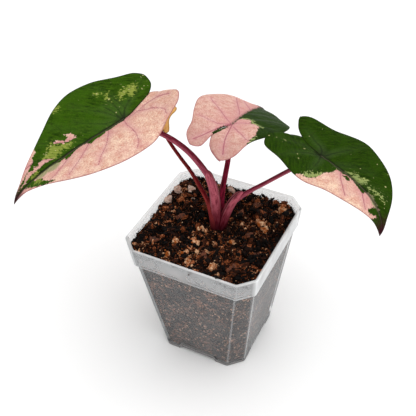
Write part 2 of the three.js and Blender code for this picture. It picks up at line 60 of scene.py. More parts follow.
eye = Vector(in_row([121.473, -240.117, 319.224]))
aim = Vector(in_row([-5.798, 4.095, 80.0]))
lens = bpy.data.cameras.new("camera")
lens.sensor_width = 36
lens.lens = 63.559
camera = bpy.data.objects.new("camera", lens)
tilt = Quaternion((0, 0, 1), math.radians(-1.795))
camera.location = eye
camera.rotation_euler = ((aim - eye).to_track_quat("-Z", "Y") @ tilt).to_euler()
bpy.context.scene.collection.objects.link(camera)
bpy.context.scene.camera = camera


# ---- Pot ----------------------------------------------------------------------------------
# A square nursery pot with cut corners, blown or moulded thin in milky polypropylene. It has a
# stepped band under its rim, four corner feet and five drain holes in a floor raised on a cross.
band_foot = 64.6
body_foot = 24.5
body_top = 32.9
wall = 0.9
foot_height = 2.5
foot_inner = 10.3
drain_radius = 3.5
drain_spread = 16


def linear(text):
    """An sRGB hex colour as the linear colour that a shader takes"""
    parts = [int(text[i:i + 2], 16) / 255 for i in (1, 3, 5)]
    return tuple(c / 12.92 if c <= 0.04045 else ((c + 0.055) / 1.055) ** 2.4 for c in parts) + (1,)


def add(tree, kind, sockets=None, **settings):
    """One node with its settings and links; each socket is given a value, a colour's hex text, an
    output that feeds it, or a node whose first output in use feeds it"""
    node = tree.nodes.new("ShaderNode" + kind)
    for name, value in settings.items():
        setattr(node, name, value)
    for key, value in (sockets or {}).items():
        if isinstance(value, bpy.types.Node):
            value = next(output for output in value.outputs if output.enabled)
        if isinstance(value, bpy.types.NodeSocket):
            tree.links.new(value, node.inputs[key])
        else:
            node.inputs[key].default_value = linear(value) if isinstance(value, str) else value
    return node


def new_material(name):
    """An empty material and its node tree"""
    material = bpy.data.materials.new(name)
    material.use_nodes = True
    material.node_tree.nodes.clear()
    return material, material.node_tree


def mesh_piece(name, points, faces, smooth=True):
    """A mesh from points in the pot's own millimetres, facing outwards"""
    mesh = bpy.data.meshes.new(name)
    mesh.from_pydata(in_row(points).tolist(), [], [tuple(face) for face in faces])
    shaped = bmesh.new()
    shaped.from_mesh(mesh)
    bmesh.ops.recalc_face_normals(shaped, faces=shaped.faces)
    shaped.to_mesh(mesh)
    shaped.free()
    mesh.polygons.foreach_set("use_smooth", [smooth] * len(mesh.polygons))
    piece = bpy.data.objects.new(name, mesh)
    bpy.context.scene.collection.objects.link(piece)
    return piece


def mark(piece, name, values):
    """A value or a vector at every point of a piece, for its material to read"""
    values = np.asarray(values, np.float32)
    single = values.ndim == 1
    layer = piece.data.attributes.new(name, "FLOAT" if single else "FLOAT_VECTOR", "POINT")
    layer.data.foreach_set("value" if single else "vector", values.ravel())


def ring_faces(rings, count):
    """Quads between rings of points, and a face on the first and the last ring"""
    faces = []
    for r in range(rings - 1):
        for i in range(count):
            a = r * count + i
            b = r * count + (i + 1) % count
            faces.append((a, b, b + count, a + count))
    last = (rings - 1) * count
    faces.append(tuple(range(count))[::-1])
    faces.append(tuple(range(last, last + count)))
    return faces


def square_ring(half, corner, bend):
    """Square outline with cut corners and rounded bends; half may differ from point to point"""
    cut = corner * 0.962
    reach = bend * math.tan(math.pi / 8)
    side_steps, bend_steps, cut_steps = 26, 6, 5
    bend_step = math.radians(45 / (bend_steps - 1))

    def outline(h):
        inner = h - cut - reach
        quarter = [(h, inner * k / side_steps) for k in range(side_steps)]
        for k in range(bend_steps):
            angle = bend_step * k
            quarter.append((h - bend + bend * math.cos(angle), inner + bend * math.sin(angle)))
        slant = reach / math.sqrt(2)
        for k in range(1, cut_steps):
            along = k / cut_steps
            low = (h - slant, h - cut + slant)
            high = (h - cut + slant, h - slant)
            quarter.append(tuple(p + (q - p) * along for p, q in zip(low, high)))
        for k in range(bend_steps):
            angle = math.radians(45) + bend_step * k
            quarter.append((inner + bend * math.cos(angle), h - bend + bend * math.sin(angle)))
        quarter += [(inner * (1 - k / side_steps), h) for k in range(1, side_steps)]
        quarter = np.array(quarter)
        turned = [quarter]
        for _ in range(3):
            x, y = turned[-1].T
            turned.append(np.stack([-y, x], 1))
        return np.concatenate(turned)

    plain = outline(0.0)
    return plain + (outline(1.0) - plain) * np.reshape(half, (-1, 1))


def ease(value, low, high):
    """0 below low, 1 above high, and a smooth climb between them"""
    share = np.clip((value - low) / (high - low), 0, 1)
    return share * share * (3 - 2 * share)


def channel(x, y, half):
    """1 over the cross between the feet, 0 at the feet, with eased sides"""
    soft = 0.7
    across = 1 - ease(np.abs(x), half - soft, half + soft)
    along = 1 - ease(np.abs(y), half - soft, half + soft)
    return np.maximum(across, along)


def body_half(z):
    """Half width of the tapered body outside, at a height"""
    return body_foot + (body_top - body_foot) * z / band_foot


def band_half(z):
    """Half width of the rim band outside, at a height"""
    return 34 + (z - 65.4) / 10.6


def shell_rings(profile, corner, bend, inset, base, margin):
    """Rings from the middle of a floor out to its edge and up a wall, through (half, z) pairs"""
    rings = []
    lowest_wall = 6
    foot = square_ring(body_foot - inset, corner, bend)
    for share in np.linspace(0.03, 0.985, 26):
        x, y = (foot * share).T
        rings.append(np.stack([x, y, base + foot_height * channel(x, y, foot_inner + margin)], 1))
    for share in np.linspace(0, 1, 7):
        x, y = foot.T
        low = base + foot_height * channel(x, y, foot_inner + margin)
        z = low + (lowest_wall - low) * share
        rings.append(np.column_stack([square_ring(body_half(z) - inset, corner, bend), z]))
    for half, z in profile:
        flat = np.full(len(foot), float(z))
        rings.append(np.column_stack([square_ring(half - inset, corner, bend), flat]))
    return rings


body_steps = [(body_half(z), z) for z in np.linspace(10, 64, 15)]
outer_profile = body_steps + [
    (32.88, 64.4), (33.05, 64.62), (33.5, 64.8), (33.85, 65.0), (34.0, 65.3), (34.05, 65.8),
    (34.25, 68), (34.45, 70), (34.65, 72), (34.85, 74), (34.97, 75.2), (34.95, 75.6),
    (34.82, 75.88), (34.6, 76), (34.25, 76),
]
inner_profile = body_steps + [
    (32.85, 64.3), (32.9, 64.7), (33.2, 65.1), (33.7, 65.5), (33.98, 65.9), (34.02, 66.4),
    (34.12, 69), (34.22, 71.5), (34.32, 74), (34.4, 75.2), (34.5, 75.7), (34.7, 75.92),
]
outer_rings = shell_rings(outer_profile, 7.3, 2.2, 0, 0, 0)
inner_rings = shell_rings(inner_profile, 6.9, 1.7, wall, wall, wall)
pot_rings = outer_rings + inner_rings[::-1]
pot = mesh_piece("nursery_pot", np.concatenate(pot_rings),
                 ring_faces(len(pot_rings), len(pot_rings[0])))
for x, y in ((0, 0), (drain_spread, 0), (-drain_spread, 0), (0, drain_spread),
             (0, -drain_spread)):
    angles = np.linspace(0, 2 * math.pi, 40, endpoint=False)
    bore = []
    for z in (-2, 7):
        bore.append(np.stack([x + drain_radius * np.cos(angles), y + drain_radius * np.sin(angles),
                              np.full(40, z)], 1))
    cutter = mesh_piece("drain_cutter", np.concatenate(bore), ring_faces(2, 40))
    cut = pot.modifiers.new("drain", "BOOLEAN")
    cut.object = cutter
    cut.solver = "EXACT"
    graph = bpy.context.evaluated_depsgraph_get()
    drilled = bpy.data.meshes.new_from_object(pot.evaluated_get(graph))
    pot.modifiers.clear()
    pot.data = drilled
    bpy.data.objects.remove(cutter)
pot.data.materials.clear()

places = np.empty(len(pot.data.vertices) * 3)
pot.data.vertices.foreach_get("co", places)
x, y, z = ((places.reshape(-1, 3) - pot_axis) * 1000).T
wide, narrow = np.maximum(np.abs(x), np.abs(y)), np.minimum(np.abs(x), np.abs(y))
side_half = np.where(z > band_foot, band_half(z), body_half(z))
to_bend = np.hypot(wide - side_half, narrow - (side_half - 7))
in_band = ease(z, 64.2, 65.6)
painted_light_right = ease(x / side_half, 0.965, 0.995)
# Share of white: the plain walls, the band, the right side, which is made whiter as painted light, the
# bends, the band's foot, the rim
milk = 0.06 + 0.2 * in_band + (0.17 + 0.3 * in_band) * painted_light_right
milk += (0.27 - 0.2 * in_band) * np.exp(-(to_bend / 0.42) ** 2)
milk += 0.5 * np.exp(-((z - 64.8) / 0.36) ** 2) + (0.3 - 0.14 * painted_light_right) * ease(z, 75.5, 75.9)
mark(pot, "milk", np.clip(milk, 0, 0.95))
# Painted shade: grey strips where only one wall is seen, at the outlines of the left front and the
# right back corner
cut_left = ease(narrow, side_half - 8.5, side_half - 7.7) * (x < 0) * (y < 0)
far_right = ease(y, side_half - 9.6, side_half - 8.2) * (x > side_half - 1.2)
mark(pot, "painted_shade_strip", np.maximum(cut_left, far_right) * ease(z, 4, 7))
mark(pot, "in_band", in_band)
# Low on the feet the plastic turns grey, with a painted contact shadow at the very bottom edge
lowest = foot_height * channel(x, y, foot_inner)
mark(pot, "foot_shade", 1 - ease(z - lowest, 0.1, 2.7))

# Polypropylene, moulded thin: milky, satin, clouded about every 11 mm, and greyed by the mix behind it
# down at the feet, with a painted contact shadow along their bottom edge. Seen along the wall, its milk
# adds up, most of all at two of the corners
milky_polypropylene, tree = new_material("milky_polypropylene")
place = add(tree, "TexCoord").outputs["Object"]
milk_part, foot_shade, painted_shade_strip, band_part = (
    add(tree, "Attribute", attribute_name=mark_name).outputs["Fac"]
    for mark_name in ("milk", "foot_shade", "painted_shade_strip", "in_band"))
clouds = add(tree, "TexNoise", {"Vector": place, "Scale": 90, "Detail": 4})
slant = add(tree, "LayerWeight", {"Blend": 0.5}).outputs["Facing"]
clouded = add(tree, "MapRange", {"Value": clouds, "From Min": 0.3, "From Max": 0.7,
                                 "To Min": 0.85, "To Max": 1.15})
along_wall = add(tree, "MapRange", {"Value": slant, "From Min": 0.88, "From Max": 1.0,
                                    "To Min": 1.0, "To Max": 7.0})
for factor in (clouded, along_wall):
    milk_part = add(tree, "Math", {0: milk_part, 1: factor}, operation="MULTIPLY")
foot_milk = add(tree, "MapRange", {"Value": foot_shade, "From Max": 0.35, "To Max": 0.85})
strip_milk = add(tree, "MapRange", {"Value": painted_shade_strip, "To Max": 0.88})
for least in (foot_milk, strip_milk):
    milk_part = add(tree, "Math", {0: milk_part, 1: least}, operation="MAXIMUM", use_clamp=True)
to_foot = add(tree, "MapRange", {"Value": foot_shade, "From Max": 0.3})
# The outline strips are painted grey as shade, lighter in the band
strip_shade_colour = add(tree, "Mix", {"Factor": band_part, "A": "#727576", "B": "#c6c8c9"},
                   data_type="RGBA")
seen_along = add(tree, "MapRange", {"Value": slant, "From Min": 0.86, "From Max": 1.0,
                                    "To Max": 0.8})
painted_contact_shadow = add(tree, "MapRange", {"Value": foot_shade, "From Min": 0.8, "From Max": 0.97})
plastic = "#f4f6f7"
for share, shade in ((to_foot, "#807d7b"), (painted_shade_strip, strip_shade_colour), (seen_along, "#8d9092"),
                     (painted_contact_shadow, "#2c2e30")):
    plastic = add(tree, "Mix", {"Factor": share, "A": plastic, "B": shade}, data_type="RGBA")
gloss = add(tree, "MapRange", {"Value": clouds, "To Min": 0.3, "To Max": 0.45})
shader = add(tree, "BsdfPrincipled", {"Base Color": plastic, "Roughness": gloss, "IOR": 1.49,
                                      "Alpha": milk_part})
add(tree, "OutputMaterial", {"Surface": shader})
pot.data.materials.append(milky_polypropylene)
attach(pot, "root")
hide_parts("pot")


# ---- Growing mix --------------------------------------------------------------------------
# Loose aroid mix: peat and coir crumbs, dark chips and fibres, filled to just under the rim and
# pressed against the walls. Some crumbs cling to the wall above it.
soil_level = 72.6
soil_half, soil_corner = 33.3, 60.2
soil_in_band, lowest_soil = 34.2, 68.4
wall_drop, drop_reach = 3.0, 2.4
top_rings = 84
floor_rings = 33
crown_x, crown_y = 1.4, 0.9


def mix_height(x, y):
    """Level of the mix, which falls away at the left and the back wall"""
    swell = 0.4 * np.sin(x * 0.16 + 0.6) * np.cos(y * 0.13)
    to_corner = (soil_corner - np.abs(x) - np.abs(y)) / math.sqrt(2) + 3.0 * (x > 0) * (y < 0)
    to_wall = np.minimum(np.minimum(soil_half + x, soil_half - y), to_corner)
    fall = wall_drop * np.exp(-np.clip(to_wall, 0, None) / drop_reach)
    return soil_level - 0.02 * x + swell - fall


def uneven(x, y, pitch, seed):
    """Smooth random heights from -1 to 1, a pitch in mm apart"""
    size = 64
    table = np.random.default_rng(seed).uniform(-1, 1, (size, size))
    u, v = np.asarray(x) / pitch, np.asarray(y) / pitch
    i, j = np.floor(u).astype(int), np.floor(v).astype(int)
    a, b = u - i, v - j
    a, b = a * a * (3 - 2 * a), b * b * (3 - 2 * b)
    i, j, next_i, next_j = i % size, j % size, (i + 1) % size, (j + 1) % size
    near = table[i, j] * (1 - a) + table[next_i, j] * a
    far = table[i, next_j] * (1 - a) + table[next_i, next_j] * a
    return near * (1 - b) + far * b


def mix_surface(x, y):
    """The mix's level with its lumps and pits"""
    lumps = 0.9 * uneven(x, y, 4.6, 3) + 0.8 * uneven(x, y, 2.1, 4) + 0.3 * uneven(x, y, 0.9, 5)
    return mix_height(x, y) + lumps


mix_inset = wall + 0.04
# Up the walls and into the band, a thin crack away from the plastic
mix_profile = [(body_half(z), z) for z in np.linspace(8, 64, 29)]
mix_profile += [(33.3, 65.6), (33.9, 66.6), (34.0, 67.4), (34.05, 68.2)]
mix_rings = shell_rings(mix_profile, 7.0, 1.6, mix_inset, 0.95, 0.95)
mix_edge = square_ring(soil_in_band - mix_inset, 7.0, 1.6)
for share in np.linspace(1, 0.02, top_rings):
    x, y = (mix_edge * share).T
    mix_rings.append(np.stack([x, y, np.maximum(mix_surface(x, y), lowest_soil)], 1))
for ring in mix_rings[floor_rings:-top_rings]:
    angle = np.arctan2(ring[:, 1], ring[:, 0])
    pits = uneven(angle * 28, ring[:, 2], 1.7, 8)
    ring[:, :2] *= (1 - 0.006 * np.clip(pits, 0, 1))[:, None]
mix = mesh_piece("growing_mix", np.concatenate(mix_rings), ring_faces(len(mix_rings), len(mix_edge)))
pressed = np.ones((len(mix_rings), len(mix_edge)))
pressed[-top_rings:] = 0
mark(mix, "pressed", pressed.ravel())

# Peat and coir, damp and crumbly: nearly black between the chips. Against the walls it is
# pressed flat, mottled grey and brown over 2 and 7 mm, with crumbs of 0.9 mm, some of them paler
# where they touch the plastic
crumbly_mix, tree = new_material("crumbly_peat_mix")
place = add(tree, "TexCoord").outputs["Object"]
flat_side = add(tree, "Attribute", attribute_name="pressed").outputs["Fac"]
warp = add(tree, "TexNoise", {"Vector": place, "Scale": 700, "Detail": 3}).outputs["Color"]
bent_place = add(tree, "VectorMath", {0: warp, 1: (0.0007, 0.0007, 0.0007), 2: place},
                 operation="MULTIPLY_ADD")
crumbs = add(tree, "TexVoronoi", {"Vector": bent_place, "Scale": 1150, "Randomness": 1})
tone = add(tree, "SeparateColor", {0: crumbs.outputs["Color"]})
dust = add(tree, "TexNoise", {"Vector": place, "Scale": 420, "Detail": 3, "Roughness": 0.6})
broad = add(tree, "TexNoise", {"Vector": place, "Scale": 140, "Detail": 3})
earth = add(tree, "Mix", {"Factor": dust, "A": "#060302", "B": "#28130a"}, data_type="RGBA")
even_dust = add(tree, "MapRange", {"Value": dust, "From Min": 0.35, "From Max": 0.65})
brown = add(tree, "MapRange", {"Value": tone.outputs["Red"], "From Min": 0.5, "From Max": 0.9})
patches = add(tree, "MapRange", {"Value": broad, "From Min": 0.42, "From Max": 0.6,
                                 "To Min": 0.2, "To Max": 1.0})
brown_crumbs = add(tree, "Math", {0: brown, 1: patches}, operation="MULTIPLY")
pale_crumbs = add(tree, "MapRange", {"Value": tone.outputs["Green"], "From Min": 0.93,
                                     "From Max": 0.97, "To Max": 0.8})
wall_colour = "#191b1d"
for share, shade in ((even_dust, "#34302f"), (brown_crumbs, "#7d5a4d"), (pale_crumbs, "#b08a72")):
    wall_colour = add(tree, "Mix", {"Factor": share, "A": wall_colour, "B": shade},
                      data_type="RGBA")
colour = add(tree, "Mix", {"Factor": flat_side, "A": earth, "B": wall_colour}, data_type="RGBA")
bumpy = add(tree, "MapRange", {"Value": flat_side, "To Min": 0.8, "To Max": 0.1})
rise = add(tree, "Bump", {"Height": crumbs.outputs["Distance"], "Strength": bumpy,
                          "Distance": 0.0008})
shader = add(tree, "BsdfPrincipled", {"Base Color": colour, "Roughness": 0.92,
                                      "Specular IOR Level": 0.1, "Normal": rise})
add(tree, "OutputMaterial", {"Surface": shader})
mix.data.materials.append(crumbly_mix)
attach(mix, "root")
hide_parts("soil")

lump_nodes = sorted(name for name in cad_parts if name.startswith(("pumice_", "bark_chip_")))
lump_spots = []
for name in lump_nodes:
    low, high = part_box(name)
    low, high = ((np.array(corner) - pot_axis) * 1000 for corner in (low, high))
    middle = (low + high) / 2
    lump_spots.append((middle[0], middle[1], max(high[0] - low[0], high[1] - low[1]) / 2))


def turns(angles, first, second):
    """Turns from one axis towards another, one matrix for each angle"""
    matrices = np.tile(np.eye(3), (len(angles), 1, 1))
    matrices[:, first, first] = matrices[:, second, second] = np.cos(angles)
    matrices[:, first, second] = -np.sin(angles)
    matrices[:, second, first] = np.sin(angles)
    return matrices


def turned(rng, count, lean):
    """Random turns, one matrix each, that lean from level by about the given degrees"""
    spin = rng.uniform(0, 2 * math.pi, count)
    nod = np.radians(rng.normal(0, lean, count))
    roll = np.radians(rng.normal(0, lean, count))
    return turns(spin, 0, 1) @ turns(nod, 2, 0) @ turns(roll, 1, 2)


def copies(rng, shape, faces, sizes, centres, lean, jitter):
    """Uneven copies of a small shape, each with its own sizes, turn and place, as one mesh"""
    count = len(centres)
    points = np.repeat(np.array(shape, float)[None], count, 0)
    points += rng.normal(0, jitter, points.shape)
    points = points * sizes[:, None, :]
    points = np.einsum("nij,nkj->nki", turned(rng, count, lean), points) + centres[:, None, :]
    corner = np.arange(count)[:, None, None] * len(shape)
    every = (np.array(faces)[None] + corner).reshape(-1, len(faces[0]))
    return points.reshape(-1, 3), every.tolist()


def open_spots(rng, count, keep_crown):
    """Random places on the mix, clear of the stalks and of the stones and bark chips"""
    spots = []
    spot_half, spot_corner = 32.9, 58.6
    while len(spots) < count:
        x, y = rng.uniform(-33, 33, 2)
        if max(abs(x), abs(y)) > spot_half or abs(x) + abs(y) > spot_corner:
            continue
        if math.hypot(x - crown_x, y - crown_y) < keep_crown:
            continue
        if any(math.hypot(x - a, y - b) < 0.8 * r for a, b, r in lump_spots):
            continue
        spots.append((x, y))
    return np.array(spots)


# Forms of the single chips, 1 across: a block, a ball and a six-sided bead
block = [(x, y, z) for z in (-0.5, 0.5) for y in (-0.5, 0.5) for x in (-0.5, 0.5)]
block_faces = [(0, 2, 3, 1), (4, 5, 7, 6), (0, 1, 5, 4), (1, 3, 7, 5), (3, 2, 6, 7), (2, 0, 4, 6)]
ball_mesh = bmesh.new()
bmesh.ops.create_icosphere(ball_mesh, subdivisions=2, radius=0.5)
ball = [tuple(v.co) for v in ball_mesh.verts]
ball_faces = [tuple(v.index for v in face.verts) for face in ball_mesh.faces]
ball_mesh.free()

# Chips of peat, bark and coir: matt, streaked every 0.7 mm. Each one's mark gives its tone, from
# nearly black through brown and rust to tan
mix_chips, tree = new_material("peat_bark_and_coir_chips")
place = add(tree, "TexCoord").outputs["Object"]
tone = add(tree, "Attribute", attribute_name="tone").outputs["Fac"]
streaks = add(tree, "TexNoise", {"Vector": place, "Scale": 1400, "Detail": 5, "Roughness": 0.65})
shifted = add(tree, "MapRange", {"Value": streaks, "From Min": 0.3, "From Max": 0.7,
                                 "To Min": -0.3, "To Max": 0.3})
streaked = add(tree, "Math", {0: tone, 1: shifted}, operation="ADD", use_clamp=True)
chip_colour = "#070403"
for low, high, shade in ((0.28, 0.54, "#482311"), (0.58, 0.84, "#9c5229"), (0.84, 1.0, "#e0b48c")):
    share = add(tree, "MapRange", {"Value": streaked, "From Min": low, "From Max": high})
    chip_colour = add(tree, "Mix", {"Factor": share, "A": chip_colour, "B": shade},
                      data_type="RGBA")
rise = add(tree, "Bump", {"Height": streaks, "Strength": 0.6, "Distance": 0.0004})
shader = add(tree, "BsdfPrincipled", {"Base Color": chip_colour, "Roughness": 0.85,
                                      "Specular IOR Level": 0.15, "Normal": rise})
add(tree, "OutputMaterial", {"Surface": shader})


def mix_piece(name, points, faces, tones, smooth=False):
    """A piece of the growing mix, with the tone of each of its points"""
    piece = mesh_piece(name, points, faces, smooth)
    mark(piece, "tone", tones)
    piece.data.materials.append(mix_chips)
    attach(piece, "root")


def lay_chips(name, seed, count, sizes, shape, faces, lean, jitter, lift, keep_crown, tones):
    """A piece of many chips of one kind, strewn over the mix. The sizes are the range of lengths in
    mm, then those of width and depth as shares of the length; tones shape the draw of tones"""
    rng = np.random.default_rng(seed)
    spots = open_spots(rng, count, keep_crown)
    long = rng.uniform(sizes[0], sizes[1], count) * rng.uniform(0.6, 1, count)
    spread = np.stack([long, long * rng.uniform(sizes[2], sizes[3], count),
                       long * rng.uniform(sizes[4], sizes[5], count)], 1)
    height = mix_surface(spots[:, 0], spots[:, 1]) + lift * spread[:, 2] * rng.uniform(-0.6, 1, count)
    points, every = copies(rng, shape, faces, spread, np.column_stack([spots, height]), lean, jitter)
    blotch = 0.22 * uneven(spots[:, 0], spots[:, 1], 6.5, 31)
    shade = np.clip(rng.beta(tones[0], tones[1], count) + blotch, 0, 1)
    mix_piece(name, points, every, np.repeat(shade, len(shape)))


bead = [(0.5 * math.cos(a), 0.5 * math.sin(a), 0.0) for a in np.radians(range(0, 360, 60))]
bead = bead + [(0.08, 0.05, 0.5), (-0.06, 0.04, -0.5)]
bead_faces = [(i, (i + 1) % 6, 6) for i in range(6)] + [((i + 1) % 6, i, 7) for i in range(6)]
lay_chips("coarse_chips", 21, 1300, (2.0, 4.8, 0.35, 0.8, 0.2, 0.5), ball, ball_faces, 34, 0.08, 1.5,
          5.2, (0.9, 1.7))
lay_chips("small_chips", 22, 6500, (0.7, 2.2, 0.4, 0.9, 0.3, 0.7), bead, bead_faces, 45, 0.11, 1.2,
          4.0, (1.0, 1.9))
lay_chips("crumbs", 23, 6500, (0.4, 1.1, 0.5, 1.0, 0.5, 0.9), bead, bead_faces, 60, 0.12, 2.0,
          3.4, (1.3, 1.7))
lay_chips("bark_slivers", 24, 420, (2.2, 4.6, 0.14, 0.3, 0.1, 0.22), block, block_faces, 22, 0.08,
          2.4, 5.5, (0.8, 4.0))

# Crumbs that cling to the wall above the mix, thickest at the left, the back and their corners
rng = np.random.default_rng(25)
wall_line = square_ring(soil_in_band - wall - 0.12, 6.9, 1.7)
steps_round = np.linalg.norm(np.roll(wall_line, -1, 0) - wall_line, axis=1)
way = np.concatenate([[0], np.cumsum(steps_round)])
around = rng.uniform(0, way[-1], 7500)
line = np.vstack([wall_line, wall_line[:1]])
clinging = np.column_stack([np.interp(around, way, line[:, 0]), np.interp(around, way, line[:, 1])])
side = np.degrees(np.arctan2(clinging[:, 1], clinging[:, 0]))
thick = np.full(len(side), 0.45)
# Bearing and half width in degrees, and how much more clings there
for middle, width, amount in ((180, 50, 1.0), (85, 50, 1.7), (135, 22, 1.0), (45, 26, 2.6),
                              (68, 20, 1.6), (222, 20, 2.6), (10, 25, 0.25)):
    off = (side - middle + 180) % 360 - 180
    thick = thick + amount * np.exp(-(off / width) ** 2)
patchy = 0.55 + 0.9 * np.clip(uneven(around, around * 0 + 3, 3.1, 26), -0.5, 1)
climb = rng.exponential(0.62, len(around)) * thick * patchy
clinging_z = mix_height(clinging[:, 0], clinging[:, 1]) - 0.4 + climb
under_rim = 75.3
kept = clinging_z < under_rim
clinging, clinging_z, climb = clinging[kept], clinging_z[kept], climb[kept]
across = rng.uniform(0.35, 1.0, len(climb)) * np.clip(1.15 - 0.22 * climb, 0.35, 1)
inward = rng.uniform(0.1, 0.5, len(climb)) * across
pull = 1 - inward / np.linalg.norm(clinging, axis=1)
grit = np.stack([across, across * rng.uniform(0.5, 1, len(climb)),
                 across * rng.uniform(0.4, 0.9, len(climb))], 1)
grit_points, grit_faces = copies(rng, bead, bead_faces, grit,
                                 np.column_stack([clinging * pull[:, None], clinging_z]), 60, 0.12)
mix_piece("wall_crumbs", grit_points, grit_faces,
          np.repeat(0.7 * rng.beta(1.1, 2.2, len(climb)), len(bead)))

# Charcoal and bark slabs: long dark pieces lying in loose groups
rng = np.random.default_rng(29)
slab_spots = []
# Middle of each group, its spread in mm and its number of slabs
for x, y, spread, count in ((-16.8, -10.1, 2.6, 13), (-9.5, -8.4, 2.2, 8), (1.8, -18.3, 2.4, 9),
                            (12.5, -9.5, 2.4, 8), (20.2, -20.2, 2.4, 9), (-30.1, -22.0, 1.6, 4),
                            (-22.0, 2.0, 3.0, 8), (14.0, 24.0, 3.5, 9)):
    slab_spots.append(rng.normal((x, y), spread, (count, 2)))
slab_spots = np.clip(np.concatenate(slab_spots), -31.0, 31.0)
slab_length = rng.uniform(3.0, 5.4, len(slab_spots))
slab_size = np.stack([slab_length, slab_length * rng.uniform(0.22, 0.42, len(slab_spots)),
                      slab_length * rng.uniform(0.12, 0.22, len(slab_spots))], 1)
slab_level = mix_surface(slab_spots[:, 0], slab_spots[:, 1]) + rng.uniform(0.7, 1.3, len(slab_spots))
slab_points, slab_faces = copies(rng, ball, ball_faces, slab_size,
                                 np.column_stack([slab_spots, slab_level]), 14, 0.09)
rust_x, rust_y, rust_reach = 20.2, -20.2, 7
in_rust = np.hypot(slab_spots[:, 0] - rust_x, slab_spots[:, 1] - rust_y) < rust_reach
slab_tones = np.where(in_rust, 0.62, rng.uniform(0.05, 0.4, len(slab_spots)))
mix_piece("charcoal_and_bark_slabs", slab_points, slab_faces, np.repeat(slab_tones, len(ball)))

# Coir fibres: fine, curved strands lying on the mix
rng = np.random.default_rng(27)
bends, sides = 7, (90, 210, 330)
each = bends * len(sides)
fibre_points, fibre_faces, fibre_tones = [], [], []
for number, (x, y) in enumerate(open_spots(rng, 460, 4.5)):
    heading, curl = rng.uniform(0, 2 * math.pi), rng.normal(0, 0.35)
    reach, thin = rng.uniform(1.5, 5.0), rng.uniform(0.07, 0.15)
    hop = rng.uniform(0.2, 1.3)
    shares = np.linspace(0, 1, bends)
    heads = heading + curl * shares * reach
    path_x = x + np.cumsum(np.cos(heads)) * reach / bends
    path_y = y + np.cumsum(np.sin(heads)) * reach / bends
    inside = np.clip(np.column_stack([path_x, path_y]), -32.4, 32.4)
    level = mix_surface(inside[:, 0], inside[:, 1]) + 0.25 + hop * np.sin(shares * math.pi)
    for k in range(bends):
        across_way = np.array([-math.sin(heads[k]), math.cos(heads[k])])
        slim = thin * (1 - 0.75 * abs(2 * shares[k] - 1) ** 3)
        for turn in sides:
            side_step = across_way * slim * math.cos(math.radians(turn))
            fibre_points.append((inside[k, 0] + side_step[0], inside[k, 1] + side_step[1],
                                 level[k] + slim * math.sin(math.radians(turn))))
    for face in ring_faces(bends, len(sides)):
        fibre_faces.append(tuple(i + number * each for i in face))
    fibre_tones += [rng.uniform(0.2, 0.85)] * each
mix_piece("coir_fibres", fibre_points, fibre_faces, fibre_tones, True)


# ---- Pumice and bark ----------------------------------------------------------------------
# Loose pieces in the mix: porous pumice, cream with rusty stains, and red-brown bark chips. The
# CAD lumps keep their places and are rounded and roughened here.

# Pumice: foamed glass, matt, with pores 0.9 mm apart, darkened with painted shade. Rust stains of 2 mm
# cover most stones; those by the wall at the left back stayed pale and rosy
stained_pumice, tree = new_material("stained_pumice")
place = add(tree, "TexCoord").outputs["Object"]
where = add(tree, "SeparateXYZ", {0: place})
pores = add(tree, "TexVoronoi", {"Vector": place, "Scale": 1100}).outputs["Distance"]
stain = add(tree, "TexNoise", {"Vector": place, "Scale": 480, "Detail": 5})
stained = add(tree, "MapRange", {"Value": stain, "From Min": 0.36, "From Max": 0.56})
back_left = add(tree, "Math", {0: where.outputs["X"], 1: -1.0, 2: where.outputs["Y"]},
                operation="MULTIPLY_ADD")
unstained = add(tree, "MapRange", {"Value": back_left, "From Min": 0.016, "From Max": 0.022})
# Painted shade in the pores: their middles are darkened
painted_pore_shade = add(tree, "MapRange", {"Value": pores, "From Min": 0.1, "From Max": 0.45, "To Min": 0.85,
                             "To Max": 0})
rusty = add(tree, "Mix", {"Factor": stained, "A": "#f0c8a0", "B": "#a2541d"}, data_type="RGBA")
clean = add(tree, "Mix", {"Factor": stained, "A": "#e6d3c6", "B": "#c7a595"}, data_type="RGBA")
pore_shade_colour = add(tree, "Mix", {"Factor": unstained, "A": "#4a2512", "B": "#97715f"},
                 data_type="RGBA")
stone = add(tree, "Mix", {"Factor": unstained, "A": rusty, "B": clean}, data_type="RGBA")
pore_shaded = add(tree, "Mix", {"Factor": painted_pore_shade, "A": stone, "B": pore_shade_colour}, data_type="RGBA")
rise = add(tree, "Bump", {"Height": pores, "Strength": 0.8, "Distance": 0.0005})
shader = add(tree, "BsdfPrincipled", {"Base Color": pore_shaded, "Roughness": 0.9,
                                      "Specular IOR Level": 0.15, "Normal": rise})
add(tree, "OutputMaterial", {"Surface": shader})

# Conifer bark, broken into chips: layered every 1.4 mm, fibrous and matt
layered_bark, tree = new_material("layered_bark")
place = add(tree, "TexCoord").outputs["Object"]
layers = add(tree, "TexNoise", {"Vector": place, "Scale": 700, "Detail": 6, "Distortion": 1.2})
layered = add(tree, "MapRange", {"Value": layers, "From Min": 0.35, "From Max": 0.65})
bark_colour = add(tree, "Mix", {"Factor": layered, "A": "#2a140c", "B": "#83472a"},
                  data_type="RGBA")
rise = add(tree, "Bump", {"Height": layers, "Strength": 0.8, "Distance": 0.0005})
shader = add(tree, "BsdfPrincipled", {"Base Color": bark_colour, "Roughness": 0.88,
                                      "Normal": rise})
add(tree, "OutputMaterial", {"Surface": shader})

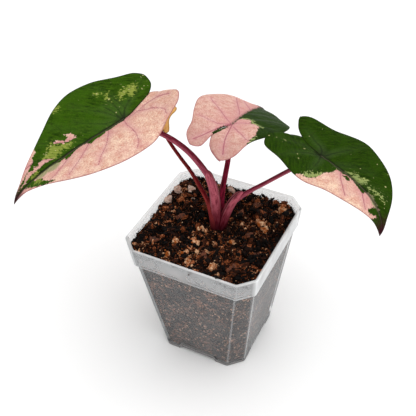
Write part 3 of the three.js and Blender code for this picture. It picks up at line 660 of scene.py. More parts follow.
form_map = bpy.data.textures.new("lump_form", "CLOUDS")
form_map.noise_scale = 0.0024
form_map.noise_depth = 1
roughness_map = bpy.data.textures.new("lump_relief", "CLOUDS")
roughness_map.noise_scale = 0.0008
roughness_map.noise_depth = 2
for name in lump_nodes:
    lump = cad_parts[name]
    weld = lump.modifiers.new("weld", "WELD")
    weld.merge_threshold = 0.00001
    rounding = lump.modifiers.new("rounding", "SUBSURF")
    rounding.levels = rounding.render_levels = 2
    for texture, strength in ((form_map, 0.0032), (roughness_map, 0.0009)):
        relief = lump.modifiers.new("relief", "DISPLACE")
        relief.texture = texture
        relief.texture_coords = "OBJECT"
        relief.strength = strength
        relief.mid_level = 0.48
    lump.material_slots[0].material = stained_pumice if name.startswith("pumice") else layered_bark

# Broken bits of pumice: small heaps beside the stones, and single grains all over the mix
rng = np.random.default_rng(28)
grit_spots, grit_sizes = [], []
# Middle of each heap, its spread in mm, its number of bits and the size of the largest
for x, y, spread, count, size in ((-14.2, -27.6, 2.4, 12, 1.5), (-6.1, -23.7, 1.3, 10, 1.7),
                                  (-2.8, -25.6, 1.9, 22, 2.1), (0.3, -27.4, 1.5, 9, 1.4),
                                  (14.7, -28.9, 1.2, 7, 1.6), (9.8, -24.7, 1.0, 6, 1.2),
                                  (-13.8, -16.5, 1.5, 8, 1.5), (-5.2, -13.0, 1.9, 8, 1.4),
                                  (18.6, 12.4, 1.6, 6, 1.6), (27.6, -4.2, 1.6, 7, 1.3),
                                  (27.2, 12.6, 1.2, 4, 1.3), (-18.7, 13.8, 1.4, 5, 1.8)):
    grit_spots.append(rng.normal((x, y), spread * 0.6, (count, 2)))
    grit_sizes.append(rng.uniform(0.45, 1.0, count) * size)
grit_spots.append(open_spots(rng, 240, 4.5))
grit_sizes.append(rng.uniform(0.3, 0.8, 240))
grit_spots = np.clip(np.concatenate(grit_spots), -32.3, 32.3)
grit_sizes = np.concatenate(grit_sizes)
grit_level = mix_surface(grit_spots[:, 0], grit_spots[:, 1]) + 0.35 + 0.35 * grit_sizes
grit_shape = np.stack([grit_sizes, grit_sizes * rng.uniform(0.6, 1, len(grit_sizes)),
                       grit_sizes * rng.uniform(0.5, 0.9, len(grit_sizes))], 1)
grit_points, grit_faces = copies(rng, ball, ball_faces, grit_shape,
                                 np.column_stack([grit_spots, grit_level]), 40, 0.05)
pumice_grit = mesh_piece("pumice_grit", grit_points, grit_faces, True)
pumice_grit.data.materials.append(stained_pumice)
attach(pumice_grit, "root")


# ---- Stalks -------------------------------------------------------------------------------
# Four leaf stalks rise from one crown. Each is a round, juicy petiole whose foot widens into a
# sheath that wraps the younger ones and ends in a free ear. All grew as one with the crown.
towards_front = np.array([0.46, -0.88, 0.0])
# Stations from the mix up: x, y, z, half width and half depth
stalk_stations = {
    "left": [
        (1, 0.6, 62, 1.7, 1.7), (0.9, 0.5, 76, 1.8, 1.7), (0, 0.1, 91, 1.6, 1.5),
        (-1.8, -0.5, 102.5, 1.55, 1.5), (-5.7, -1.4, 110, 1.5, 1.45), (-12.1, -2.9, 118.2, 1.4, 1.35),
        (-20.5, -5, 124.7, 1.3, 1.25), (-32.1, -7.8, 129.2, 1.2, 1.15), (-39.4, -9.6, 131.7, 1.2, 1.1),
    ],
    "middle": [
        (1.2, 3, 62, 1.8, 1.8), (1.3, 3.8, 78, 1.8, 1.8), (1.2, 6, 91, 1.4, 1.4),
        (1.2, 10, 99.6, 1.3, 1.3), (1.2, 13, 106, 1.25, 1.25), (1.2, 15.3, 115, 1.2, 1.2),
        (1.2, 16.2, 123, 1.15, 1.15),
    ],
    "right": [
        (2.4, 0.7, 62, 1.6, 1.6), (3.2, 0.9, 76, 1.7, 1.6), (7, 2.3, 87.5, 1.5, 1.4),
        (13.9, 4.7, 95.6, 1.15, 1.1), (23.2, 8.1, 103.2, 1, 1), (32.7, 11.5, 110.9, 1, 1),
        (44.9, 16, 119.6, 1.05, 1),
    ],
    "old": [
        (0.2, -0.7, 62, 1.4, 1.3), (-0.3, -1.3, 77, 1.7, 1.4), (-1.4, -1.1, 83, 1.45, 1.2),
        (-3.6, -0.1, 88.4, 1.25, 1.15), (-10, 2.6, 95.4, 1.05, 1.0), (-15, 4, 101, 0.95, 0.95),
        (-20.7, 5.2, 106.2, 0.9, 0.9), (-27.4, 7.2, 112.2, 0.85, 0.85), (-31, 8.7, 116, 0.8, 0.8),
    ],
}
sheath_stations = {
    "left": [
        (1.1, 0.4, 62, 2.3, 2.2), (1.0, 0.3, 76, 2.6, 2.2), (0.5, 0.1, 86, 2.5, 2.1),
        (0.2, 0, 92, 2.3, 1.9), (-0.5, -0.3, 98.5, 2.1, 1.8), (-1.7, -0.7, 103.4, 1.9, 1.6),
        (-2.7, -1, 106.6, 1.6, 1.3), (-3.6, -1.2, 108.2, 0.7, 0.6),
    ],
    "right": [
        (2.5, 0.4, 62, 1.9, 1.9), (3.7, 0.8, 75, 2.3, 2), (6, 1.6, 84.4, 2.3, 1.8),
        (8.8, 2.6, 91.2, 2.2, 1.5), (11.2, 3.5, 95.1, 1.9, 1.1), (12.7, 4, 97.1, 0.9, 0.5),
    ],
}


def smooth_line(stations, shares):
    """Centripetal curve through stations, at shares from 0 to 1"""
    stations = np.array(stations, float)
    spans = len(stations) - 1
    padded = np.vstack([2 * stations[0] - stations[1], stations, 2 * stations[-1] - stations[-2]])
    result = []
    for share in shares:
        span = min(int(share * spans), spans - 1)
        part = share * spans - span
        p0, p1, p2, p3 = padded[span:span + 4]
        d0, d1, d2 = (max(np.linalg.norm(b[:3] - a[:3]), 1e-4) ** 0.5
                      for a, b in ((p0, p1), (p1, p2), (p2, p3)))
        t1 = ((p1 - p0) / d0 - (p2 - p0) / (d0 + d1) + (p2 - p1) / d1) * d1
        t2 = ((p2 - p1) / d1 - (p3 - p1) / (d1 + d2) + (p3 - p2) / d2) * d1
        result.append(p1 + t1 * part + (3 * (p2 - p1) - 2 * t1 - t2) * part ** 2
                      + (2 * (p1 - p2) + t1 + t2) * part ** 3)
    return np.array(result)


def swept(stations, steps, sides, seams=(), seam_width=0.2, tuck=None):
    """A tube through stations of x, y, z, half width, half depth, with seams between two lips each,
    their grooves marked for painted shade, and, towards its foot, a side that is tucked against its
    neighbour and marked for painted shade there"""
    line = smooth_line(stations, np.linspace(0, 1, steps + 1))
    centre, sizes = line[:, :3], np.maximum(line[:, 3:], 0.15)
    along = np.gradient(centre, axis=0)
    along /= np.linalg.norm(along, axis=1)[:, None]
    side = np.cross(along, towards_front)
    side /= np.linalg.norm(side, axis=1)[:, None]
    back = np.cross(along, side)
    angle = np.linspace(0, 2 * math.pi, sides, endpoint=False)
    swell = 1 + 0.012 * np.sin(5 * angle)
    groove_painted_dark, lips = np.zeros(sides), np.zeros(sides)
    for seam in seams:
        off = (angle - math.radians(seam) + math.pi) % (2 * math.pi) - math.pi
        groove_painted_dark += np.exp(-(off / seam_width) ** 2)
        lips += np.exp(-((np.abs(off) - 2 * seam_width) / (0.8 * seam_width)) ** 2)
    groove_depth, lip_rise = 0.16, 0.07
    swell = swell - groove_depth * groove_painted_dark + lip_rise * lips
    rings = centre[:, None, :] + (
        side[:, None, :] * (sizes[:, :1] * (np.cos(angle) * swell)[None])[:, :, None]
        + back[:, None, :] * (sizes[:, 1:] * (np.sin(angle) * swell)[None])[:, :, None])
    offset = rings - centre[:, None, :]
    offset /= np.linalg.norm(offset, axis=2)[:, :, None]
    level = np.array([0, 0, 1.0]) - along * along[:, 2:]
    level /= np.maximum(np.linalg.norm(level, axis=1), 0.05)[:, None]
    topside = (offset * level[:, None, :]).sum(2) * np.sqrt(1 - along[:, 2] ** 2)[:, None]
    length = np.concatenate([[0], np.cumsum(np.linalg.norm(np.diff(centre, axis=0), axis=1))])
    painted_tuck_shade = np.zeros(rings.shape[:2])
    if tuck is not None:
        off = (angle - math.radians(tuck) + math.pi) % (2 * math.pi) - math.pi
        painted_tuck_shade = np.exp(-(off / 0.6) ** 2)[None] * (1 - ease(rings[..., 2], 80, 97))
    marks = {
        "lip": (lips[None] * ease(rings[..., 2], 80, 90)).ravel(),
        "painted_tuck_shade": 0.85 * painted_tuck_shade.ravel(),
        "topside": topside.ravel(),
        "groove_painted_dark": np.repeat(groove_painted_dark[None], steps + 1, 0).ravel(),
        "stripe": np.stack([np.repeat(angle[None], steps + 1, 0).ravel() * 1.4,
                            np.repeat(length, sides), np.zeros(rings[..., 0].size)], 1),
        "height": rings[..., 2].ravel(),
    }
    return rings.reshape(-1, 3), ring_faces(steps + 1, sides), marks


# Petiole skin: thin, smooth and waxy over wet tissue; wine red to mauve, darker on its upper side, with
# streaks of 4 mm along it and dark flecks of half a millimetre. Painted shade darkens the sheaths' seam
# grooves and the side tucked against a neighbour
def petiole_material(name, light, deep, foot):
    """Wine-red stalk skin, from its paler front to its dark upper side and its foot"""
    material, tree = new_material(name)
    topside, groove_painted_dark, height, lip, painted_tuck_shade = (
        add(tree, "Attribute", attribute_name=mark_name).outputs["Fac"]
        for mark_name in ("topside", "groove_painted_dark", "height", "lip", "painted_tuck_shade"))
    stripe = add(tree, "Attribute", attribute_name="stripe").outputs["Vector"]
    drawn = add(tree, "Mapping", {"Vector": stripe, "Scale": (2.4, 0.22, 1)})
    streaks = add(tree, "TexNoise", {"Vector": drawn, "Scale": 1, "Detail": 4})
    specks = add(tree, "TexNoise", {"Vector": stripe, "Scale": 1.6, "Detail": 3})
    uneven_top = add(tree, "Math", {0: streaks, 1: 2.2, 2: -1.0}, operation="MULTIPLY_ADD")
    top = add(tree, "Math", {0: topside, 1: uneven_top}, operation="ADD")
    dark_top = add(tree, "MapRange", {"Value": top, "From Min": 0.0, "From Max": 0.75})
    low = add(tree, "MapRange", {"Value": height, "From Min": 93, "From Max": 78})
    streaky = add(tree, "MapRange", {"Value": streaks, "From Min": 0.3, "From Max": 0.6,
                                     "To Min": 0.7, "To Max": 1})
    low_part = add(tree, "Math", {0: low, 1: streaky}, operation="MULTIPLY")
    lowest = add(tree, "MapRange", {"Value": height, "From Min": 81, "From Max": 74,
                                    "To Max": 0.75})
    lip_part = add(tree, "Math", {0: lip, 1: 0.3}, operation="MULTIPLY")
    flecked = add(tree, "MapRange", {"Value": specks, "From Min": 0.6, "From Max": 0.72,
                                     "To Max": 0.75})
    skin = light
    for share, shade in ((dark_top, deep), (low_part, foot), (lowest, "#26040a"),
                         # Painted shade where a sheath is tucked against its neighbour, and in the
                         # seams' grooves
                         (lip_part, "#c98d90"), (flecked, deep), (painted_tuck_shade, "#5c0619"),
                         (groove_painted_dark, "#2a0408")):
        skin = add(tree, "Mix", {"Factor": share, "A": skin, "B": shade}, data_type="RGBA")
    rise = add(tree, "Bump", {"Height": streaks, "Strength": 0.25, "Distance": 0.0003})
    shader = add(tree, "BsdfPrincipled", {"Base Color": skin, "Roughness": 0.45, "IOR": 1.45,
                                          "Specular IOR Level": 0.03, "Subsurface Weight": 0.04,
                                          "Subsurface Radius": (0.001, 0.0004, 0.0003),
                                          "Normal": rise})
    add(tree, "OutputMaterial", {"Surface": shader})
    return material


mauve_petiole = petiole_material("mauve_petiole_skin", "#9e4d5d", "#651a2b", "#5a0d1c")
mauve_sheath = petiole_material("mauve_sheath_skin", "#b65c6a", "#520c1c", "#5a0d1c")
wine_petiole = petiole_material("wine_petiole_skin", "#962440", "#400613", "#5a0d1c")
old_petiole = petiole_material("faded_petiole_skin", "#963a34", "#560c14", "#7c2a30")


# ---- Leaf blades --------------------------------------------------------------------------
# Three grown blades, arrow-shaped, leathery and slightly quilted between their veins, each half
# folded and curled down. Variegated: green, lime and sage on pink. Each grew on its own stalk.
blade_thickness = 0.62
rib_height = 0.9
rib_width = 1.6
far_off = 50.0
# Every leaf: its place and turn in the pot, how it bends, and its outline in mm on the flat leaf,
# x from the stalk to the tip and y to its left. Its patches, flecks and veins are drawn there too
# Each leaf's deep is painted shade: how much its green is darkened for the light that falls on it,
# which also turns its lime paler
leaves = {
    "left": {
        "rows": (18, 8), "at": (-40, -9.7, 132), "length": 65.5, "heading": -117.5, "pitch": 10.9,
        "roll": 3.2, "fold": (12.2, 25.2), "curl": (50.9, 16.7), "arch": (10.8, 5.4, 31.2),
        "sweep": (-10.4, -15.3), "twist": (-0.9, 2.2), "back": (-55, -6, -2.2),
        "margins": [
            [(65.5, 0), (61.6, 0.8), (55, 3), (45.9, 9.9), (35.4, 17.5), (24.2, 23.3), (12.5, 27),
             (0, 26.2), (-11.8, 20), (-21.4, 16.6), (-26, 11.4)],
            [(65.5, 0), (61.6, -2.3), (55, -4.8), (45.9, -10.1), (35.4, -16.9), (24.2, -23.6),
             (12.5, -27.3), (0, -26.1), (-11.8, -20.4), (-19.6, -16.4), (-23, -11.4)],
        ],
        "sinus": [
            [(0, 0), (-5, -1.3), (-11, -2.7), (-17, -3.4), (-21.8, 1.2), (-26, 11.4)],
            [(0, 0), (-5, -0.7), (-11, -1.9), (-17, -2.7), (-21.6, -5.8), (-23, -11.4)],
        ],
        "dark_rib": 1.0, "deep": 0.1, "blush": 0.2, "lower_lobe": 0, "tucked_lobe": 0,
        "lobe_round": 2.0,
        "pink": [
            [(-30, -2), (-22, -2), (-17.1, -2.4), (-11, -1.4), (-5, -0.1), (-0.5, 0.3), (1.1, 1.9),
             (2.4, 1.6), (4.4, 2.1), (5.9, 2.1), (8.6, 2.4), (10.1, 1.9), (12.1, 2.6), (14.4, 3.9),
             (16.9, 3.6), (19.4, 4.1), (20.4, 1.6), (24.4, 1.4), (28.6, 2.6), (30.4, 3.6),
             (31.9, 3.6), (32.4, 2.1), (34.6, 2.9), (35.9, 2.4), (42, 1.5), (47, 1.4), (52, 1.4),
             (56, 0.7), (66, 0), (66, 40), (-30, 40)],
            [(32.9, -9.1), (30.6, -8.9), (29.6, -7.4), (27.9, -6.6), (25.9, -6.9), (25.9, -7.6),
             (26.6, -8.9), (25.6, -8.9), (23.1, -7.1), (23.1, -6.1), (22.6, -4.9), (24.9, -4.9),
             (27.6, -5.4), (29.4, -5.9), (29.9, -7.1), (32.4, -8.1)],
            [(36.4, -1.9), (38.9, -3.9), (40.1, -4.6), (41.6, -5.1), (42.9, -5.4), (43.6, -4.1),
             (45.1, -4.1), (46.1, -4.6), (46.9, -3.6), (49.9, -4.6), (51.1, -4.1), (53.1, -2.6),
             (55.4, -2.1), (61.1, -0.6), (58.1, -1.6), (52.9, -1.6), (49.4, -2.6), (43.6, -2.6),
             (40.6, -2.9), (38.6, -2.4)],
            [(42.1, -12.1), (41.9, -10.4), (43.4, -9.4), (44.6, -9.1), (45.1, -7.1), (46.9, -6.9),
             (47.9, -5.9), (49.4, -5.1), (50.6, -4.9), (52.1, -4.1), (55.6, -3.4), (58.6, -2.6),
             (66, -1), (66, -20), (42.1, -20)],
        ],
        "green": [
            [(56.9, -0.4), (55.1, 0.9), (51.6, 3.9), (47.4, 8.4), (45.4, 10.4), (41.9, 12.4),
             (39.6, 13.1), (41.9, 10.6), (44.4, 7.4), (44.6, 5.4), (46.9, 3.1), (48.6, 2.4),
             (48.6, 1), (53.9, 0.1)],
        ],
        "lime": [
            [(33.6, -9.9), (33.1, -8.1), (30.6, -6.4), (28.1, -5.1), (25.1, -3.6), (26.6, -3.1),
             (27.6, -2.4), (29.9, -3.1), (31.9, -3.6), (33.1, -2.1), (34.9, -3.1), (35.6, -1.9),
             (36.9, -2.6), (39.6, -4.6), (41.4, -5.4), (38.9, -6.1), (37.4, -6.1), (36.1, -7.1),
             (36.9, -8.4), (35.1, -8.4)],
            [(48.6, 2.4), (46.9, 3.1), (44.6, 5.4), (44.4, 7.4), (46.1, 6.9), (47.6, 5.9),
             (48.6, 4.1)],
            [(49.9, -2.1), (47.9, -2.4), (45.6, -2.4), (45.9, -0.1), (47.9, 0.4), (49.9, -0.6)],
            [(-5.6, -11.9), (-7.6, -12.6), (-10.1, -12.4), (-12.4, -12.1), (-15.4, -11.4),
             (-15.4, -9.6), (-14.6, -8.6), (-12.1, -7.6), (-10.4, -7.1), (-9.6, -8.6),
             (-10.1, -10.4), (-7.9, -10.4), (-4.9, -9.1)],
            [(24.9, -22.9), (23.4, -23.6), (21.6, -23.4), (21.4, -22.1), (22.9, -21.9), (24.6, -21.9)],
            [(3.2, -19.3), (1.6, -18.6), (2.2, -17.2), (3.4, -17.8)],
            [(-1, -16.6), (-2.6, -15.8), (-1.2, -14.6), (-0.6, -12.2), (0.4, -13.4), (-0.2, -15.4)],
        ],
        "sage": [
            [(35.6, 2.2), (34.6, 3.9), (36.1, 5.1), (37.9, 6.1), (39.6, 5.9), (41.4, 4.4),
             (43.1, 5.1), (44.6, 4.9), (46.9, 3.1), (47.6, 1.8), (45.6, 1.4), (42.6, 1.2),
             (38.1, 1.4)],
        ],
        "flecks": [
            (-8.6, -11.4), (-6.9, -10.6), (-5.1, -9.6), (-14.9, -9.9), (-10.9, -7.6), (-20.4, -11.1),
            (-20.9, -7.6), (2.6, -18.4), (-2.1, -15.9), (-0.6, -12.9), (-0.4, -20.1), (19.9, -5.4),
            (19.9, -3.6), (-7.4, -19.4), (-16.4, -6.6), (-18.1, -6.9), (-5.9, -5.9), (5.6, -24.4),
            (33.9, -4.9), (39.1, -5.4), (34.6, -0.4), (38.1, -0.4), (26.1, -0.9), (28.1, -0.1),
            (39.1, -7.1), (42.1, -11.6), (35.9, -5.1), (46.4, -8.6), (2.4, -18.9), (-1.6, -15.6),
            (-0.1, -12.9), (-7.1, -18.6), (-3.4, -12.6), (11.4, -20.6), (-20.6, -11.6), (-20.4, -7.9),
            (-19.4, -5.6), (-14.6, -6.4), (-11.9, -4.6), (-10.9, -9.4), (-14.1, -10.6), (-8.9, -10.9),
            (-6.4, -10.1), (12.6, -13.4), (1.1, -4.9), (7.6, -11.6), (-1.9, -6.6), (-15.4, -8.4),
            (-14.6, -12.6), (-22.1, -11.4), (2.6, -17.6), (-1.9, -17.1), (22.1, -6.1), (34.4, -8.4),
            (42.4, -11.9), (41.9, -13.4), (38.4, -6.6), (30.9, -2.6), (27.1, -3.4), (44.9, -1.1),
        ],
        "veins": [
            [(0.9, 1.4), (2.1, 7.1), (1.9, 9.9), (2.6, 15.9), (3.9, 20.1), (5.9, 23.1), (7.1, 24.6)],
            [(9.6, 2.4), (11.9, 6.6), (14.4, 10.6), (17.4, 13.9), (20.1, 16.6), (22.9, 20.1)],
            [(19.5, 2), (23, 6), (27, 9.6), (31, 12.6), (34, 15)],
            [(29, 2), (33, 5.4), (38, 9), (42, 11)],
            [(0.1, 0.4), (-3.4, 0.6), (-6.9, 1.1), (-10.9, 0.6), (-14.4, 1.4), (-17.6, 2.9),
             (-20.1, 5.4), (-22.1, 8.4)],
            [(-6.9, 1.1), (-9.4, 4.4), (-11.9, 7.1), (-13.6, 10.4), (-14.9, 13.9), (-13.6, 17.1)],
            [(0.1, 0.1), (-3.6, -4.6), (-6.9, -5.9), (-10.6, -7.1), (-16.6, -9.4), (-20.1, -10.1)],
            [(-3.6, -4.9), (-3.4, -7.4), (-3.1, -9.9), (-2.6, -12.4), (-1, -18), (1, -23)],
            [(0.1, -0.9), (-0.6, -4.9), (-0.6, -8.9), (0.4, -12.4)],
            [(-0.4, -1.1), (-2.9, -3.9), (-6.6, -5.9), (-8.1, -6.6)],
            [(0.9, -0.6), (3.9, -5.9), (7.4, -10.6), (11.4, -14.4), (16, -20)],
            [(1.1, -0.9), (1.9, -5.6), (3.9, -10.6)],
            [(2.9, -0.9), (8.9, -3.1), (14.1, -6.9), (19, -12)],
            [(6.4, 0), (12.9, -1.1), (19.6, -6.9), (25, -12), (30, -17)],
            [(20, 0), (27, -5), (34, -10), (39, -13)],
            [(32, 0), (38, -3.6), (45, -7), (50, -7)],
        ],
    },
    "middle": {
        "rows": (18, 8), "at": (1.2, 16.6, 124), "length": 64, "heading": 91.7, "pitch": 12.3,
        "roll": 19.5, "fold": (-5, 19.3), "curl": (27.2, 24.2), "arch": (37.3, 2.6, -22.5),
        "sweep": (5.4, -5), "twist": (11, 0.3), "back": (42.4, 3.6, -0.3),
        "margins": [
            [(64, 0), (60.3, 2), (53.8, 6.1), (44.9, 11.9), (34.6, 18.1), (23.7, 22.3), (12.2, 22.8),
             (0, 19.8), (-11.5, 15.3), (-21.5, 12.4), (-27.3, 7.2)],
            [(64, 0), (60.3, -2.1), (53.8, -6.2), (44.9, -12), (34.6, -18.2), (23.7, -22.5),
             (12.2, -22.6), (0, -18.8), (-11.5, -14.4), (-22.3, -12.9), (-28.9, -9.4)],
        ],
        "sinus": [
            [(0, 0), (-4, 1.4), (-9, 2.8), (-16, 2.9), (-24.8, 3.2), (-27.3, 7.2)],
            [(0, 0), (-4, 1.7), (-9, 3.2), (-15, 3.0), (-23, -1), (-28.9, -9.4)],
        ],
        "dark_rib": 0.35, "deep": 1.1, "blush": 0.8, "lower_lobe": None, "tucked_lobe": 1,
        "lobe_round": 2.6,
        "pink": [
            [(66, 0.4), (0.6, 0.1), (-30, 0), (-30, 40), (66, 40)],
            [(0.6, 0.4), (0.6, -0.2), (5.6, -0.4), (9.3, -0.9), (10.1, -2.2), (9.8, -3.2),
             (11.3, -4.7), (9.6, -6.4), (7.3, -6.9), (7.6, -8.9), (5.6, -11.9), (2.8, -12.2),
             (0.6, -12.9), (-1.9, -13.2), (-4.7, -14.2), (-6.7, -13.7), (-8.9, -13.4),
             (-12.4, -13.7), (-13.7, -13.9), (-14, -30), (-40, -30), (-40, 6), (-20, 6)],
        ],
        "green": [[(-2.2, 0.7), (-4, 1.9), (-9, 3.4), (-14, 3.6), (-13.4, 2.4), (-10, 1.5),
                   (-5, 0.4)]],
        "lime": [
            [(10.3, -2), (11.5, -2.2), (12.4, -4.8), (10.8, -7), (8.9, -7.6), (9.1, -9.4),
             (7.2, -12.6), (5.4, -13), (5.6, -11.9), (7.6, -8.9), (7.3, -6.9), (9.6, -6.4),
             (11.3, -4.7), (9.8, -3.2)],
            [(-12.4, -13.7), (-8.7, -13.9), (-5.2, -14.4), (-7.9, -14.9), (-11.4, -14.9)],
        ],
        "sage": [],
        "flecks": [(8.5, -8), (7.4, -11), (3, -13.4), (12.5, -2)],
        "veins": [
            [(0.3, 0.3), (3.3, 4.1), (7.1, 8.1), (11.6, 12.3), (15.8, 16.3), (19.6, 18.8)],
            [(14.8, 1.3), (21.3, 3.8), (29.3, 7.1), (40.8, 11.1)],
            [(0.3, 0.3), (-2.4, 2.3), (-4.7, 4.8), (-4.7, 7.6), (-4.4, 11.1), (-4, 15)],
            [(0.1, -0.4), (-6.7, -1.9), (-11.4, -2.9), (-15.7, -4.2), (-19.7, -5.9), (-24.2, -8.2)],
            [(-1.9, -1.9), (-5.2, -5.7), (-7.4, -8.9), (-9.9, -11.9), (-10.4, -13.7)],
            [(-0.2, -0.4), (3.6, -1.9), (5.3, -4.2), (6.8, -6.7), (9, -12), (11, -18)],
            [(-0.1, 0.6), (-6, 2.6), (-12, 4.2), (-18, 6), (-23, 8)],
            [(9, 0), (15, -5), (21, -11), (26, -17)],
            [(22, 0), (29, -5), (36, -10), (41, -12)],
            [(32, 0), (39, 4), (46, 8)],
        ],
    },
    "right": {
        "rows": (18, 8), "at": (45.6, 16.2, 120), "length": 48.8, "heading": -22.7, "pitch": 5.6,
        "roll": -8.4, "fold": (17.1, 10), "curl": (12.7, 56.4), "arch": (-10.1, 31.2, 68.1),
        "sweep": (-2.3, -2.1), "twist": (3, -2.2), "back": (-6.7, -0.7, -0.5),
        "margins": [
            [(48.8, 0), (45.9, 1.1), (41, 3.9), (34.1, 9.5), (26.3, 14.7), (18.1, 18.1), (9.3, 20),
             (0, 19), (-8.8, 16.3), (-19.6, 14.6), (-25.4, 11.7)],
            [(48.8, 0), (45.9, -1.5), (41, -4.6), (34.1, -9.4), (26.3, -13.6), (18.1, -17.1),
             (9.3, -20.1), (0, -20), (-8.8, -18.4), (-19.4, -17), (-24.5, -10.8)],
        ],
        "sinus": [
            [(0, 0), (-4, 0.5), (-8, 0.8), (-12.6, 1.9), (-19.2, 5.2), (-25.4, 11.7)],
            [(0, 0), (-4, 1.5), (-9, 2.3), (-14.2, 3.1), (-20.5, -1.2), (-24.5, -10.8)],
        ],
        "dark_rib": 0.8, "deep": 0.85, "blush": 0.0, "lower_lobe": 1, "tucked_lobe": 1,
        "lobe_round": 3.4,
        "pink": [
            [(3.3, -19.2), (5.1, -17.9), (6.1, -18.4), (8.3, -17.4), (10.3, -15.2), (10.8, -12.4),
             (10.1, -9.7), (11.6, -8.2), (12.1, -6.4), (11.3, -3.4), (12.3, -1.4), (14.8, -1.9),
             (16.8, -1.4), (20.1, -1.2), (23.1, -2.4), (25.3, -2.4), (27.1, -2.7), (28.3, 0.3),
             (30.3, 0.8), (34.3, 0.3), (36.8, 0.6), (38.6, -0.4), (39, -3), (38.6, -4.6),
             (38, -40), (3.3, -40)],
            [(30.6, -11.7), (32.6, -9.4), (33.6, -7.4), (36.3, -6.2), (38.1, -4.7), (36.3, -7.2),
             (33.1, -9.9), (31.5, -12.4)],
        ],
        "green": [
            [(15.6, -2.7), (16.8, -1.4), (18.8, -2.4), (20.1, -2.7), (19.3, -4.2), (17.6, -3.9)],
            [(34.6, -6.2), (34.3, -3.4), (35.3, -0.4), (38.3, 0.1), (40.6, -0.9), (38.6, -2.7),
             (37.6, -4.7), (36.3, -6.2)],
        ],
        "lime": [
            [(5.1, -17.9), (5.3, -15.9), (6.8, -14.2), (8.8, -13.7), (9.3, -10.9), (10.1, -9.4),
             (11.1, -12.7), (10.3, -15.2), (8.3, -17.4)],
            [(14.6, 0.6), (16.6, 1.8), (18.8, 3.1), (21.1, 3.1), (23.3, 4.3), (24.6, 3.1),
             (23.1, 1.1), (20.6, 0.3), (17.8, 0.6)],
            [(26.8, 2.2), (29.1, 3.2), (30.8, 3.7), (32.6, 4), (34.3, 4.5), (32.6, 4.8),
             (30.8, 4.5), (29.1, 4)],
        ],
        "sage": [
            [(28.3, 0.3), (30.6, 1.1), (34.1, 0.6), (37.3, 0.3), (38.6, -0.2), (35.8, -0.7),
             (33.6, -2.2), (30.1, -0.7)],
        ],
        "flecks": [
            (26.1, 14.1), (29.8, 8.8), (32.3, 4.1), (27.6, 2.3), (23.6, 3.1), (21.3, 2.3),
            (18.1, 2.6), (30.8, 1.1), (34.8, 4.6), (14.8, -0.4), (-15.4, -9.4), (-9.2, -4.2),
            (-6.9, -3.7), (-15.7, -6.9), (-16.9, -7.4), (-22.4, -11.4), (5.3, 7.1), (32.3, 5.3),
            (31.1, 4.8), (27.6, 3.3), (35.6, 4.1), (10.6, -8.9), (-5.7, -9.9), (-9.8, -4.6),
            (-7.4, -4.1), (-15.2, -7.3), (-18, -8.4), (-19.6, -9.2), (-3, -12), (2, -14), (6, -12.4),
            (-16, 11), (-11, 12.4), (-4, 15), (4, 16.6), (12, 15.8), (20, 14.2), (-1, 8.6),
            (9, 9.8), (17, 6.9), (24, 7.4), (29, 6.1), (33.4, 7.2), (37, 3.2), (-12, 5),
        ],
        "veins": [
            [(12.3, -0.4), (16.6, -5.7), (21.3, -9.2), (24.8, -11.4)],
            [(0, 0), (3, -5), (5, -11), (8, -17)],
            [(-0.2, 0.1), (-1.4, 2.3), (-4.2, 4.1), (-7.9, 4.6), (-11.9, 6.1), (-15.9, 7.3)],
            [(-0.2, -0.2), (-4.4, -0.8), (-6.7, -1.1), (-11.4, -2), (-14.4, -4), (-20, -8)],
            [(-1, -1), (-5, -6), (-8, -11), (-10, -16)],
            [(1.6, 1.3), (3.1, 5.3), (5.8, 10.3), (7.6, 13.8), (9, 18)],
            [(9.1, 0.1), (12.3, 3.1), (16.6, 6.6), (22.1, 8.8)],
            [(21, 0), (26, 3), (31, 6), (35, 7)],
            [(24, 0), (29, -4), (34, -7)],
        ],
    },
}


